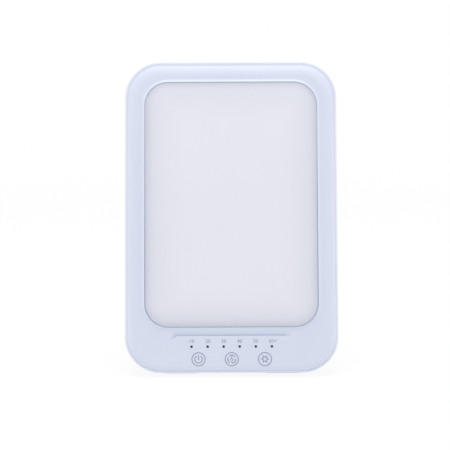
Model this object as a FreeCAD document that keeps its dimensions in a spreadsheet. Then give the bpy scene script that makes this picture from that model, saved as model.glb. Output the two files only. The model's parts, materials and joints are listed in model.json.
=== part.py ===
import FreeCAD, Part
import math
import os
import re

import Sketcher
from FreeCAD import Placement, Rotation, Vector

# Light therapy lamp: a flat panel that leans back on a rear leg. The leg folds against the
# back, and its hub turns a quarter so that the panel also stands on one long side.
#
# Lamp frame: x to the right seen from the front, y up the face, z out of the face towards
# the viewer, with z = 0 on the flat back and x = y = 0 in the middle of the case.
# Leg frame: the hinge axis is x, the leg points along -y, and z points at the back of the
# lamp. Object frame: +Z up, viewer at -Y, origin under the middle of the standing lamp.

SIZES = {
    # how it stands
    "lean": 15, "leg_opening": 27, "pad_rise": 0.3,
    # case
    "case_width": 160, "case_height": 235, "case_corner": 27, "back_edge": 6,
    "back_wall": 2.2, "side_wall": 2.8, "rim_wall": 1.8, "rim_top": 17.3, "rim_bevel": 0.9,
    "seat_level": 13, "seam": 0.2, "overcut": 1,
    # front frame
    "face_level": 20, "cover_wall": 2.2, "crown_inset": 8, "crown_radius": 13.5,
    "crown_bevel": 0.9, "crown_drop": 0.5, "window_side": 14.9, "window_head": 16,
    "window_sill": 33.8, "window_corner": 18, "bead_width": 2.6, "bead_crest": 0.7,
    "bead_rise": 0.75, "scoop_half": 38, "scoop_end": 6.6, "scoop_sill": 27.6,
    "scoop_height": 3.4, "scoop_depth": 1.3, "scoop_droop": 2, "scoop_fade": 0.08,
    # keys and indicators
    "key_pitch": 25, "key_sill": 10.1, "dot_pitch": 12, "dot_sill": 19.5, "dot_radius": 0.95,
    # diffuser, gasket and light box
    "glow_gap": 0.3, "glow_wall": 2, "glow_level": 22, "glow_edge": 13, "glow_drop": 2,
    "flange_thick": 1.5, "flange_reach": 2.7, "gasket_thick": 1, "gasket_width": 2.4,
    "reflector_height": 4.7, "reflector_lap": 2.5,
    "board_thick": 1.6, "light_inset": 2.5, "light_bevel": 5, "light_rib": 1.6,
    "light_rib_gap": 3, "light_rib_inset": 14,
    "led_length": 3.5, "led_width": 2.8, "led_height": 0.7, "led_margin": 13,
    # control board and what it carries
    "control_edge": 23, "control_height": 23, "control_sill": 5, "control_level": 11.5,
    "hook_gap": 0.05, "hook_wall": 1.4, "hook_nose": 1, "hook_length": 8,
    "foam_side": 8, "guide_width": 3, "guide_thick": 1.5, "guide_gap": 0.3,
    "diode_length": 1.6, "diode_width": 0.8, "diode_height": 0.7,
    "chip_side": 5, "chip_height": 0.9, "coil_side": 7, "coil_height": 4, "coil_bevel": 1.2,
    "can_radius": 3, "can_length": 8, "can_place": 20, "coil_place": 20,
    "socket_edge": 7, "socket_sill": 15.5, "socket_side": 10.5, "socket_foot": 2.7,
    "nose_radius": 4.2, "plug_bore": 2.75, "plug_depth": 8.5, "centre_radius": 1.05,
    "centre_inset": 1, "centre_root": 0.8, "nose_inset": 0.4,
    "link_place": 30, "ribbon_width": 4.5, "ribbon_thick": 0.4, "ribbon_level": 8,
    "plug_width": 6, "plug_length": 5, "plug_height": 4, "plug_inset": 1.5,
    # housing screws
    "screw_edge": 13.5, "boss_side": 6, "sink_radius": 2.9, "sink_depth": 1.3,
    "head_radius": 2.6, "head_height": 1.2, "shank_radius": 1.15, "shank_reach": 7,
    "hole_gap": 0.05, "pass_gap": 0.3, "blind": 0.6,
    # back of the case: air slots, keyholes, edge pads
    "slot_count": 6, "slot_width": 2, "slot_length": 46, "slot_pitch": 6, "slot_drop": 40.5,
    "key_head": 4, "key_slot": 3.8, "key_rise": 8, "keyhole_edge": 30, "keyhole_drop": 37.5,
    "pad_length": 26, "pad_width": 4.4, "pad_bevel": 1.2, "pad_depth": 1.4, "pad_back": 1.2,
    "pad_inset": 15,
    # swivel hub
    "hub_height": 80, "well_radius": 30, "well_floor": 2.2, "hub_play": 0.1,
    "hub_gap": 0.5, "hub_thick": 3, "bore_radius": 9, "bore_gap": 0.09,
    "holder_side": 26, "holder_bevel": 5, "holder_thick": 1.5, "pivot_head": 3.6, "pivot_height": 2,
    "pivot_shank": 1.9, "pivot_reach": 4,
    "track_ring": 22.5, "track_width": 3, "track_depth": 1.2, "peg_radius": 1,
    "peg_reach": 1, "turn_range": 90,
    # hinge and leg
    "hinge_offset": 18, "hinge_rise": 4.5, "pin_radius": 1.5, "ear_gap": 0.02,
    "pin_gap": 0.06, "tongue_half": 10.8, "cheek_gap": 0.3, "ear_thick": 4,
    "ear_radius": 4, "ear_foot": 6, "pin_head": 2.4, "pin_head_thick": 1,
    "clip_radius": 2.7, "clip_thick": 0.6,
    "heel_reach": 8, "heel_gap": 0.05, "heel_round": 2, "leg_depth": 7.2, "leg_clear": 0.8,
    "shoulder_drop": 9, "shoulder_half": 22, "ankle_half": 18, "shoulder_round": 6,
    "leg_skin": 2.2, "leg_wall": 2, "cell_head": 4, "rib_thick": 1.6, "rib_cells": 4,
    "leg_end_wall": 8, "leg_edge": 1.2, "foot_height": 5, "foot_round": 3, "plug_half": 10,
    "plug_thick": 2.6, "foot_plug": 6, "foot_grip": 0.03,
}

LED_COLUMNS, LED_ROWS = 6, 10
NEAR = 0.01  # how far off a plane an edge may be and still count as lying in it
WORDS = re.compile(r"[a-z][a-z_]+")
HALF_ROUND = "half round"


def formula(text):
    """Turn the names of sizes in a formula into references to the sheet."""
    return WORDS.sub(lambda word: f"Sizes.{word[0]}" if word[0] in SIZES else word[0], text)


# Heights above the back of the lamp, in the lamp frame
BEZEL_UNDER = "(face_level - cover_wall)"
FLANGE_LOW = f"({BEZEL_UNDER} - flange_thick)"
GASKET_LOW = f"({FLANGE_LOW} - gasket_thick)"
BOARD_FRONT = f"({GASKET_LOW} - reflector_height)"
BOARD_BACK = f"({BOARD_FRONT} - board_thick)"
CONTROL_FRONT = "(control_level + board_thick)"
WELL_DEPTH = "(hub_thick + hub_play)"
WELL_INSIDE = f"({WELL_DEPTH} + well_floor)"
SPINDLE_TOP = f"({WELL_INSIDE} + hub_play)"

# Places across the face
CASE_FOOT = "(-case_height / 2)"
COVER_WIDTH = "(case_width - 2 * rim_wall - 2 * seam)"
COVER_HEIGHT = "(case_height - 2 * rim_wall - 2 * seam)"
COVER_CORNER = "(case_corner - rim_wall - seam)"
WINDOW_WIDTH = "(case_width - 2 * window_side)"
WINDOW_HEIGHT = "(case_height - window_sill - window_head)"
WINDOW_Y = f"({CASE_FOOT} + window_sill + {WINDOW_HEIGHT} / 2)"
LIGHT_WIDTH = f"({WINDOW_WIDTH} - 2 * light_inset)"
LIGHT_HEIGHT = f"({WINDOW_HEIGHT} - 2 * light_inset)"
LED_STEP_X = f"(({LIGHT_WIDTH} - 2 * led_margin) / {LED_COLUMNS - 1})"
LED_STEP_Y = f"(({LIGHT_HEIGHT} - 2 * led_margin) / {LED_ROWS - 1})"
SCREW_X = "(case_width / 2 - screw_edge)"
SCREW_Y = "(case_height / 2 - screw_edge)"
KEYHOLE_X = "(case_width / 2 - keyhole_edge)"
KEYHOLE_Y = "(case_height / 2 - keyhole_drop)"
KEY_Y = f"({CASE_FOOT} + key_sill)"
DOT_Y = f"({CASE_FOOT} + dot_sill)"
CONTROL_WIDTH = "(case_width - 2 * control_edge)"
CONTROL_Y = f"({CASE_FOOT} + control_sill + control_height / 2)"
SOCKET_Y = f"({CASE_FOOT} + socket_sill)"
HUB_Y = f"({CASE_FOOT} + hub_height)"
HINGE_Y = f"({HUB_Y} + hinge_offset)"

# The standing lamp: the floor meets the rounded back edge where its normal is plumb
PLUMB_Y = f"({CASE_FOOT} + back_edge - back_edge * cos(lean))"
PLUMB_Z = "(back_edge - back_edge * sin(lean))"
LAMP_LIFT = "((case_height / 2 - back_edge) * cos(lean) - back_edge * sin(lean)" \
    " + back_edge + pad_rise)"
CROWN_Y = f"(-{COVER_HEIGHT} / 2 + crown_inset)"
FRONT_REACH = f"({CROWN_Y} * sin(lean) - (face_level - crown_radius) * cos(lean)" \
    " - crown_radius)"
BACK_REACH = "((case_height / 2 - back_edge) * sin(lean) - back_edge * cos(lean)" \
    " + back_edge)"
LAMP_SHIFT = f"(-({FRONT_REACH} + {BACK_REACH}) / 2)"
HINGE_LIFT = f"({HINGE_Y} * cos(lean) - hinge_rise * sin(lean) + {LAMP_LIFT})"
HINGE_SHIFT = f"({HINGE_Y} * sin(lean) + hinge_rise * cos(lean) + {LAMP_SHIFT})"

# The leg, in its own frame
LEG_SLOPE = "(leg_opening - lean)"
LEG_INSIDE = "(hinge_rise - leg_clear)"
LEG_OUTSIDE = f"({LEG_INSIDE} - leg_depth)"
SOLE_INSIDE = f"(({HINGE_LIFT} - {LEG_INSIDE} * sin({LEG_SLOPE})) / cos({LEG_SLOPE}))"
SOLE_OUTSIDE = f"(({HINGE_LIFT} - {LEG_OUTSIDE} * sin({LEG_SLOPE})) / cos({LEG_SLOPE}))"
LEG_END = f"({SOLE_INSIDE} - foot_height)"
EAR_INSIDE = "(tongue_half + cheek_gap)"

doc = FreeCAD.newDocument("LightTherapyLamp")
sheet = doc.addObject("Spreadsheet::Sheet", "Sizes")
for row, (alias, number) in enumerate(SIZES.items(), start=1):
    sheet.set(f"A{row}", alias)
    sheet.set(f"B{row}", str(number))
    sheet.setAlias(f"B{row}", alias)
doc.recompute()
SUB_PARTS = []


def value(text):
    """The number that a formula of sizes gives."""
    return float(sheet.evalExpression(formula(f"0 + {text}")))


# ---------------------------------------------------------------- sketches and features

def new_body(label, frame="lamp"):
    """Start a sub-part, standing with the lamp or with the opened leg."""
    body = doc.addObject("PartDesign::Body", label)
    body.Label = label
    turn, shift, lift = {
        "lamp": ("90 - lean", LAMP_SHIFT, LAMP_LIFT),
        "leg": ("90 - lean + leg_opening", HINGE_SHIFT, HINGE_LIFT),
    }[frame]
    body.Placement = Placement(Vector(0, 0, 0), Rotation(Vector(1, 0, 0), value(turn)))
    body.setExpression("Placement.Rotation.Angle", formula(turn))
    body.setExpression("Placement.Base.y", formula(shift))
    body.setExpression("Placement.Base.z", formula(lift))
    SUB_PARTS.append(body)
    return body


def new_sketch(body, name, role="XY_Plane", lift="0"):
    """Attach an empty sketch to one of the body's own planes, lifted along its normal."""
    sketch = body.newObject("Sketcher::SketchObject", name)
    base = next(item for item in body.Origin.OriginFeatures if item.Role == role)
    sketch.AttachmentSupport = [(base, "")]
    sketch.MapMode = "FlatFace"
    sketch.setExpression("AttachmentOffset.Base.z", formula(f"0 + {lift}"))
    return sketch


def tilted_sketch(body, name, axis, turn, x, y, z):
    """Attach a sketch whose plane is turned about an axis through a point."""
    sketch = new_sketch(body, name)
    sketch.AttachmentOffset = Placement(Vector(0, 0, 0), Rotation(axis, value(turn)))
    sketch.setExpression("AttachmentOffset.Rotation.Angle", formula(turn))
    for letter, place in (("x", x), ("y", y), ("z", z)):
        sketch.setExpression(f"AttachmentOffset.Base.{letter}", formula(f"0 + {place}"))
    return sketch


def tie(sketch, kind, places, text):
    """Add one dimension whose size is a formula."""
    index = sketch.addConstraint(Sketcher.Constraint(kind, *places, value(text)))
    sketch.setExpression(f"Constraints[{index}]", formula(f"0 + {text}"))


def pin(sketch, geometry, vertex, x, y):
    """Hold a vertex of a sketch at a place."""
    tie(sketch, "DistanceX", (-1, 1, geometry, vertex), x)
    tie(sketch, "DistanceY", (-1, 1, geometry, vertex), y)


def circle(sketch, x, y, radius):
    """Draw a circle round a place."""
    middle = Vector(value(x), value(y), 0)
    index = sketch.addGeometry(Part.Circle(middle, Vector(0, 0, 1), value(radius)), False)
    pin(sketch, index, 3, x, y)
    tie(sketch, "Radius", (index,), radius)


def rounded_rectangle(sketch, width, height, corner, x="0", y="0"):
    """Draw a rectangle with tangent round corners about a place."""
    half_x = value(width) / 2
    half_y = value(height) / 2
    radius = value(corner)
    in_x = half_x - radius
    in_y = half_y - radius
    middle = Vector(value(x), value(y), 0)
    first = sketch.GeometryCount
    quarter = math.pi / 2
    sides = [((-in_x, -half_y), (in_x, -half_y)), ((half_x, -in_y), (half_x, in_y)),
             ((in_x, half_y), (-in_x, half_y)), ((-half_x, in_y), (-half_x, -in_y))]
    turns = [(in_x, -in_y), (in_x, in_y), (-in_x, in_y), (-in_x, -in_y)]
    for index, ((start, end), centre) in enumerate(zip(sides, turns)):
        sketch.addGeometry(Part.LineSegment(middle + Vector(*start, 0),
                                            middle + Vector(*end, 0)), False)
        bend = Part.Circle(middle + Vector(*centre, 0), Vector(0, 0, 1), radius)
        begin = (index - 1) * quarter
        sketch.addGeometry(Part.ArcOfCircle(bend, begin, begin + quarter), False)
    for index in range(8):
        following = first + (index + 1) % 8
        sketch.addConstraint(Sketcher.Constraint("Tangent", first + index, 2, following, 1))
    for side, way in ((0, "Horizontal"), (2, "Vertical"), (4, "Horizontal"), (6, "Vertical")):
        sketch.addConstraint(Sketcher.Constraint(way, first + side))
    for bend in (3, 5, 7):
        sketch.addConstraint(Sketcher.Constraint("Equal", first + 1, first + bend))
    tie(sketch, "Radius", (first + 1,), corner)
    tie(sketch, "DistanceX", (first + 6, 1, first + 2, 1), width)
    tie(sketch, "DistanceY", (first, 1, first + 4, 1), height)
    pin(sketch, first + 1, 3, f"{x} + ({width}) / 2 - ({corner})",
        f"{y} - ({height}) / 2 + ({corner})")


def outline(sketch, corners):
    """Close straight and round sides through corners given as (x, y) or (x, y, radius).

    A radius bends the side that leaves the corner: positive turns left, negative right.
    HALF_ROUND in its place makes a half circle that turns left.
    """
    places = [Vector(value(corner[0]), value(corner[1]), 0) for corner in corners]
    ends = []
    for index, corner in enumerate(corners):
        start = places[index]
        end = places[(index + 1) % len(places)]
        if len(corner) == 2:
            side = sketch.addGeometry(Part.LineSegment(start, end), False)
            ends.append((side, 1, 2))
            continue
        turns_left = not corner[2].startswith("-")
        chord = end - start
        half = chord.Length / 2
        radius = half if corner[2] == HALF_ROUND else abs(value(corner[2]))
        across = Vector(-chord.y, chord.x, 0).normalize() * (1 if turns_left else -1)
        centre = (start + end) * 0.5 + across * max(radius ** 2 - half ** 2, 0) ** 0.5
        bend = Part.Circle(centre, Vector(0, 0, 1), radius)
        first, last = (start, end) if turns_left else (end, start)
        arc = Part.ArcOfCircle(bend, bend.parameter(first), bend.parameter(last))
        side = sketch.addGeometry(arc, False)
        ends.append((side, 1, 2) if turns_left else (side, 2, 1))
        if corner[2] != HALF_ROUND:
            tie(sketch, "Radius", (side,), corner[2].lstrip("-"))
        elif abs(chord.x) < abs(chord.y):
            tie(sketch, "DistanceX", (-1, 1, side, 3), corner[0])
        else:
            tie(sketch, "DistanceY", (-1, 1, side, 3), corner[1])
    for index, corner in enumerate(corners):
        side, begin, finish = ends[index]
        following = ends[(index + 1) % len(ends)]
        meeting = (side, finish, following[0], following[1])
        sketch.addConstraint(Sketcher.Constraint("Coincident", *meeting))
        pin(sketch, side, begin, corner[0], corner[1])


def bevelled_rectangle(sketch, width, height, bevel, x="0", y="0"):
    """Draw a rectangle with bevelled corners about a place."""
    far_x, far_y = f"({width}) / 2", f"({height}) / 2"
    near_x, near_y = f"({far_x} - {bevel})", f"({far_y} - {bevel})"
    outline(sketch, [(f"{x} - {near_x}", f"{y} - {far_y}"), (f"{x} + {near_x}", f"{y} - {far_y}"),
                     (f"{x} + {far_x}", f"{y} - {near_y}"), (f"{x} + {far_x}", f"{y} + {near_y}"),
                     (f"{x} + {near_x}", f"{y} + {far_y}"), (f"{x} - {near_x}", f"{y} + {far_y}"),
                     (f"{x} - {far_x}", f"{y} + {near_y}"), (f"{x} - {far_x}", f"{y} - {near_y}")])


def pad(body, sketch, length, name, backwards=False):
    """Raise a sketch along its normal."""
    feature = body.newObject("PartDesign::Pad", name)
    feature.Profile = sketch
    feature.Reversed = backwards
    feature.setExpression("Length", formula(f"0 + {length}"))
    return feature


def pocket(body, sketch, length, name, taper=None):
    """Cut a sketch against its normal."""
    feature = body.newObject("PartDesign::Pocket", name)
    feature.Profile = sketch
    feature.setExpression("Length", formula(f"0 + {length}"))
    if taper:
        feature.setExpression("TaperAngle", formula(taper))
    return feature


def sweep(body, kind, profile, path, name):
    """Carry a profile once round a closed path."""
    feature = body.newObject(f"PartDesign::{kind}", name)
    feature.Profile = profile
    feature.Spine = (path, [])
    feature.Mode = "Standard"
    return feature


def round_edges(body, feature, radius, name, chosen, kind="Fillet"):
    """Round or bevel the edges of a feature that pass a test."""
    doc.recompute()
    edges = [f"Edge{index}" for index, edge in enumerate(feature.Shape.Edges, start=1)
             if chosen(edge.BoundBox)]
    dressed = body.newObject(f"PartDesign::{kind}", name)
    dressed.Base = (feature, edges)
    size = "Radius" if kind == "Fillet" else "Size"
    dressed.setExpression(size, formula(radius))
    return dressed


def columns(body, name, centres, radius, low, high):
    """Add round columns between two levels."""
    sketch = new_sketch(body, f"{name}Plan", lift=low)
    for x, y in centres:
        circle(sketch, x, y, radius)
    return pad(body, sketch, f"{high} - ({low})", name)


def holes(body, name, centres, radius, low, high):
    """Cut round holes between two levels."""
    sketch = new_sketch(body, f"{name}Plan", lift=high)
    for x, y in centres:
        circle(sketch, x, y, radius)
    return pocket(body, sketch, f"{high} - ({low})", name)


def plate(body, name, width, height, corner, low, high, x="0", y="0"):
    """Add a plate with round corners between two levels."""
    sketch = new_sketch(body, f"{name}Plan", lift=low)
    rounded_rectangle(sketch, width, height, corner, x, y)
    return pad(body, sketch, f"{high} - ({low})", name)


def recess(body, name, width, height, corner, low, high, x="0", y="0", taper=None):
    """Cut a rectangle with round corners between two levels."""
    sketch = new_sketch(body, f"{name}Plan", lift=high)
    rounded_rectangle(sketch, width, height, corner, x, y)
    return pocket(body, sketch, f"{high} - ({low})", name, taper=taper)


def block(body, name, centres, length, width, low, high):
    """Add square-cornered blocks between two levels."""
    sketch = new_sketch(body, f"{name}Plan", lift=low)
    for x, y in centres:
        left, right = f"{x} - {length} / 2", f"{x} + {length} / 2"
        bottom, top = f"{y} - {width} / 2", f"{y} + {width} / 2"
        outline(sketch, [(left, bottom), (right, bottom), (right, top), (left, top)])
    return pad(body, sketch, f"{high} - ({low})", name)


# ---------------------------------------------------------------- shared places

def mirrored(x, y):
    """A place and its mirror image across the middle of the lamp."""
    return [(f"-{x}", y), (x, y)]


HOUSING_SCREWS = mirrored(SCREW_X, SCREW_Y) + mirrored(SCREW_X, f"-{SCREW_Y}")
KEYS = [(f"{step} * key_pitch", KEY_Y) for step in (-1, 0, 1)]
DOTS = [(f"{step} * dot_pitch", DOT_Y) for step in (-2.5, -1.5, -0.5, 0.5, 1.5, 2.5)]
SOCKET = [(f"(socket_edge - {CONTROL_WIDTH} / 2)", SOCKET_Y)]
HUB = [("0", HUB_Y)]
LINK_LOW = f"({CONTROL_Y} + control_height / 2 - plug_inset)"
LINK_HIGH = f"({WINDOW_Y} - {LIGHT_HEIGHT} / 2 + plug_inset)"


# ---------------------------------------------------------------- case

def rear_cover():
    """The tub: walls, rim, seat for the front frame, hub well, ribs and openings."""
    body = new_body("rear_cover")
    shell = plate(body, "Shell", "case_width", "case_height", "case_corner", "0", "rim_top")
    back = round_edges(body, shell, "back_edge", "BackEdge", lambda box: box.ZMax < NEAR)
    top = value("rim_top")
    round_edges(body, back, "rim_bevel", "RimEdge", lambda box: box.ZMin > top - NEAR,
                kind="Chamfer")
    recess(body, "Cavity", "case_width - 2 * side_wall", "case_height - 2 * side_wall",
           "case_corner - side_wall", "back_wall", "rim_top")
    recess(body, "Rebate", "case_width - 2 * rim_wall", "case_height - 2 * rim_wall",
           "case_corner - rim_wall", "seat_level", "rim_top")
    buried = "back_wall / 2"
    rib_x = f"({KEYHOLE_X} - key_head - light_rib_gap)"
    block(body, "LightRibs", mirrored(rib_x, WINDOW_Y), "light_rib",
          f"({LIGHT_HEIGHT} - 2 * light_rib_inset)", buried, BOARD_BACK)
    columns(body, "WellBoss", HUB, "well_radius + well_floor", buried, WELL_INSIDE)
    holes(body, "Well", HUB, "well_radius", "0", WELL_DEPTH)
    holes(body, "Bore", HUB, "bore_radius", "0", WELL_INSIDE)
    stop_track(body)
    holes(body, "Sinks", HOUSING_SCREWS, "sink_radius", "0", "sink_depth")
    holes(body, "Clearances", HOUSING_SCREWS, "shank_radius + pass_gap", "sink_depth",
          "back_wall")
    holes(body, "SocketHole", SOCKET, "nose_radius + pass_gap", "0", "back_wall")
    air_slots(body)
    keyholes(body)
    for index, plane in enumerate(pad_planes(body, "Recess")):
        bevelled_rectangle(plane, *PAD_OUTLINES[index // 2])
        pocket(body, plane, "pad_depth", f"PadRecess{index}")


def stop_track(body):
    """The quarter-turn track in the well's floor, in which the hub's peg runs."""
    sketch = new_sketch(body, "TrackPlan", lift=f"{WELL_DEPTH} + track_depth")
    wide, slim = "(track_ring + track_width / 2)", "(track_ring - track_width / 2)"
    spare = "(90 * track_width / pi / track_ring)"
    begin, finish = f"(-{spare})", f"(turn_range + {spare})"

    def at(ring, angle):
        """A place on a ring round the hub, from straight up, turning to the left."""
        return (f"-{ring} * sin({angle})", f"{HUB_Y} + {ring} * cos({angle})")

    outline(sketch, [(*at(wide, begin), wide), at(wide, finish),
                     (*at(slim, finish), f"-{slim}"), at(slim, begin)])
    pocket(body, sketch, "track_depth", "Track")


def air_slots(body):
    """A ladder of narrow slots high on the back, repeated upwards."""
    sketch = new_sketch(body, "SlotPlan", lift="back_wall")
    low = "case_height / 2 - slot_drop - slot_pitch * (slot_count - 1) / 2"
    bottom, top = f"{low} - slot_width / 2", f"{low} + slot_width / 2"
    left, right = "-slot_length / 2", "slot_length / 2"
    outline(sketch, [(left, bottom), (right, bottom), (right, top), (left, top)])
    first = pocket(body, sketch, "back_wall", "Slot")
    doc.recompute()
    ladder = body.newObject("PartDesign::LinearPattern", "SlotLadder")
    ladder.Originals = [first]
    ladder.Direction = (sketch, ["V_Axis"])
    ladder.Mode = "Spacing"
    ladder.setExpression("Offset", formula("slot_pitch"))
    ladder.setExpression("Occurrences", formula("slot_count"))
    body.Tip = ladder


def keyholes(body):
    """Two keyholes: a round head that a screw passes and a narrow slot above it."""
    holes(body, "KeyholeHeads", mirrored(KEYHOLE_X, KEYHOLE_Y), "key_head", "0", "back_wall")
    sketch = new_sketch(body, "KeyholePlan", lift="back_wall")
    for x, y in mirrored(KEYHOLE_X, KEYHOLE_Y):
        half, top = "(key_slot / 2)", f"{y} + key_rise"
        outline(sketch, [(f"{x} - {half}", y), (f"{x} + {half}", y),
                         (f"{x} + {half}", top, HALF_ROUND), (f"{x} - {half}", top)])
    pocket(body, sketch, "back_wall", "KeyholeSlots")


PAD_OUTLINES = [("pad_length", "pad_width", "pad_bevel", "0", "(-pad_back)"),
                ("pad_width", "pad_length", "pad_bevel", "pad_back", "0")]


def pad_planes(body, name):
    """Sketches that lie on the floor: two at the bottom edge, then two at the side edge."""
    turn = "90 + lean"
    side_x = "(case_width / 2 - back_edge + back_edge * cos(lean))"
    bottom_place = "(case_width / 2 - case_corner - pad_inset)"
    side_place = "(case_height / 2 - case_corner - pad_inset)"
    planes = [tilted_sketch(body, f"{name}Bottom{side}", Vector(1, 0, 0), turn,
                            f"{side} * {bottom_place}", PLUMB_Y, PLUMB_Z) for side in (-1, 1)]
    planes += [tilted_sketch(body, f"{name}Side{side}", Vector(0, 1, 0), turn,
                             side_x, f"{side} * {side_place}", PLUMB_Z) for side in (-1, 1)]
    return planes


def edge_pads():
    """Four rubber pads sunk in the back edges, with faces that lie on the floor."""
    body = new_body("edge_pads")
    for index, plane in enumerate(pad_planes(body, "Pad")):
        bevelled_rectangle(plane, *PAD_OUTLINES[index // 2])
        pad(body, plane, "pad_rise", f"EdgePad{index}")
        pad(body, plane, "pad_depth", f"EdgePadRoot{index}", backwards=True)


def front_cover():
    """The crowned frame: window, bead, scoop, key field, bosses and board hooks."""
    body = new_body("front_cover")
    plate(body, "Frame", COVER_WIDTH, COVER_HEIGHT, COVER_CORNER, "seat_level", "face_level")
    crown_cut(body)
    recess(body, "Window", WINDOW_WIDTH, WINDOW_HEIGHT, "window_corner",
           "seat_level", "face_level", y=WINDOW_Y)
    recess(body, "Hollow", f"{COVER_WIDTH} - 2 * cover_wall", f"{COVER_HEIGHT} - 2 * cover_wall",
           f"{COVER_CORNER} - cover_wall", "seat_level", BEZEL_UNDER)
    bead(body)
    scoop(body)
    block(body, "Bosses", HOUSING_SCREWS, "boss_side", "boss_side", "back_wall", BEZEL_UNDER)
    holes(body, "BossHoles", HOUSING_SCREWS, "shank_radius + hole_gap", "back_wall",
          "back_wall + shank_reach + blind")
    board_hooks(body)
    holes(body, "DotHoles", DOTS, "dot_radius + hole_gap", BEZEL_UNDER, "face_level")


def crown_cut(body):
    """Roll the frame's outer edge over in a wide arc that a slim bevel turns into the wall."""
    path = new_sketch(body, "CrownPath")
    rounded_rectangle(path, COVER_WIDTH, COVER_HEIGHT, COVER_CORNER)
    profile = new_sketch(body, "CrownProfile", "YZ_Plane")
    edge = f"(-{COVER_HEIGHT} / 2)"
    inside = "(crown_inset - crown_bevel)"
    brink = f"(face_level - crown_radius + sqrt(crown_radius * crown_radius" \
        f" - {inside} * {inside}))"
    above, outside = "face_level + overcut", f"{edge} - overcut"
    outline(profile, [(edge, f"{brink} - crown_drop"),
                      (f"{edge} + crown_bevel", brink, "-crown_radius"),
                      (f"{edge} + crown_inset", "face_level"),
                      (f"{edge} + crown_inset", above), (outside, above),
                      (outside, f"{brink} - crown_drop")])
    sweep(body, "SubtractivePipe", profile, path, "Crown")


def bead(body):
    """The slim raised bead round the window, with a sloped outer side."""
    path = new_sketch(body, "BeadPath")
    rounded_rectangle(path, WINDOW_WIDTH, WINDOW_HEIGHT, "window_corner", y=WINDOW_Y)
    profile = new_sketch(body, "BeadProfile", "YZ_Plane")
    edge = f"({WINDOW_Y} - {WINDOW_HEIGHT} / 2)"
    root, crest = "face_level - bead_rise", "face_level + bead_rise"
    outline(profile, [(f"{edge} - bead_width", root), (edge, root), (edge, crest),
                      (f"{edge} - bead_crest", crest), (f"{edge} - bead_width", "face_level")])
    sweep(body, "AdditivePipe", profile, path, "Bead")


def board_hooks(body):
    """Two hooks that hold the ends of the control board."""
    wall = f"({CONTROL_WIDTH} / 2 + hook_gap)"
    under = "(control_level - hook_gap)"
    tip = f"({under} - hook_nose - hook_wall)"
    for name, side in (("LeftHook", "-"), ("RightHook", "")):
        sketch = new_sketch(body, f"{name}Side", "XZ_Plane", lift=f"-{CONTROL_Y} - hook_length / 2")
        outline(sketch, [(f"{side}{wall}", BEZEL_UNDER), (f"{side}{wall}", under),
                         (f"{side}({wall} - hook_nose)", under),
                         (f"{side}({wall} + hook_wall)", tip),
                         (f"{side}({wall} + hook_wall)", BEZEL_UNDER)])
        pad(body, sketch, "hook_length", name)


def scoop(body):
    """The shallow finger scoop over the keys, deep at its lower edge, fading at its ends."""
    sections = []
    reach = "(scoop_half + scoop_end)"
    stations = [(f"-{reach}", "scoop_droop", "scoop_fade"), ("-scoop_half", "0", "1"),
                ("scoop_half", "0", "1"), (reach, "scoop_droop", "scoop_fade")]
    for index, (x, droop, size) in enumerate(stations):
        section = new_sketch(body, f"ScoopSection{index}", "YZ_Plane", lift=x)
        low = f"({CASE_FOOT} + scoop_sill - {droop})"
        top = f"({low} + scoop_height * {size})"
        above = "face_level + overcut"
        outline(section, [(low, above), (low, f"face_level - scoop_depth * {size}"),
                          (top, "face_level"), (top, above)])
        sections.append(section)
    feature = body.newObject("PartDesign::SubtractiveLoft", "Scoop")
    feature.Profile = sections[0]
    feature.Sections = sections[1:]
    feature.Ruled = True


def housing_screws():
    """Four screws from the back into the front frame's bosses."""
    body = new_body("housing_screws")
    columns(body, "Heads", HOUSING_SCREWS, "head_radius", "sink_depth - head_height",
            "sink_depth")
    columns(body, "Shanks", HOUSING_SCREWS, "shank_radius", "sink_depth",
            "back_wall + shank_reach")


# ---------------------------------------------------------------- light box

def diffuser_panel():
    """The opal pillow with its flange under the frame, hollow behind."""
    body = new_body("diffuser_panel")
    wide, tall = f"({WINDOW_WIDTH} - 2 * glow_gap)", f"({WINDOW_HEIGHT} - 2 * glow_gap)"
    corner = "(window_corner - glow_gap)"
    plate(body, "Pillow", wide, tall, corner, FLANGE_LOW, "glow_level", y=WINDOW_Y)
    path = new_sketch(body, "PillowPath")
    rounded_rectangle(path, wide, tall, corner, y=WINDOW_Y)
    profile = new_sketch(body, "PillowProfile", "YZ_Plane")
    edge = f"({WINDOW_Y} - {tall} / 2)"
    arc = "((glow_edge * glow_edge + glow_drop * glow_drop) / 2 / glow_drop)"
    low, above, outside = "glow_level - glow_drop", "glow_level + overcut", f"{edge} - overcut"
    outline(profile, [(edge, low, f"-{arc}"), (f"{edge} + glow_edge", "glow_level"),
                      (f"{edge} + glow_edge", above), (outside, above), (outside, low)])
    sweep(body, "SubtractivePipe", profile, path, "PillowEdge")
    plate(body, "Flange", f"{WINDOW_WIDTH} + 2 * flange_reach",
          f"{WINDOW_HEIGHT} + 2 * flange_reach", "window_corner + flange_reach", FLANGE_LOW,
          BEZEL_UNDER, y=WINDOW_Y)
    inside = "2 * glow_wall"
    recess(body, "Inside", f"{wide} - {inside}", f"{tall} - {inside}",
           f"{corner} - glow_wall", FLANGE_LOW, f"{low} - glow_wall", y=WINDOW_Y)
    recess(body, "InsideTop", f"{wide} - {inside} - glow_edge", f"{tall} - {inside} - glow_edge",
           f"{corner} - glow_wall - glow_edge / 2", FLANGE_LOW, "glow_level - glow_wall",
           y=WINDOW_Y)


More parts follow.
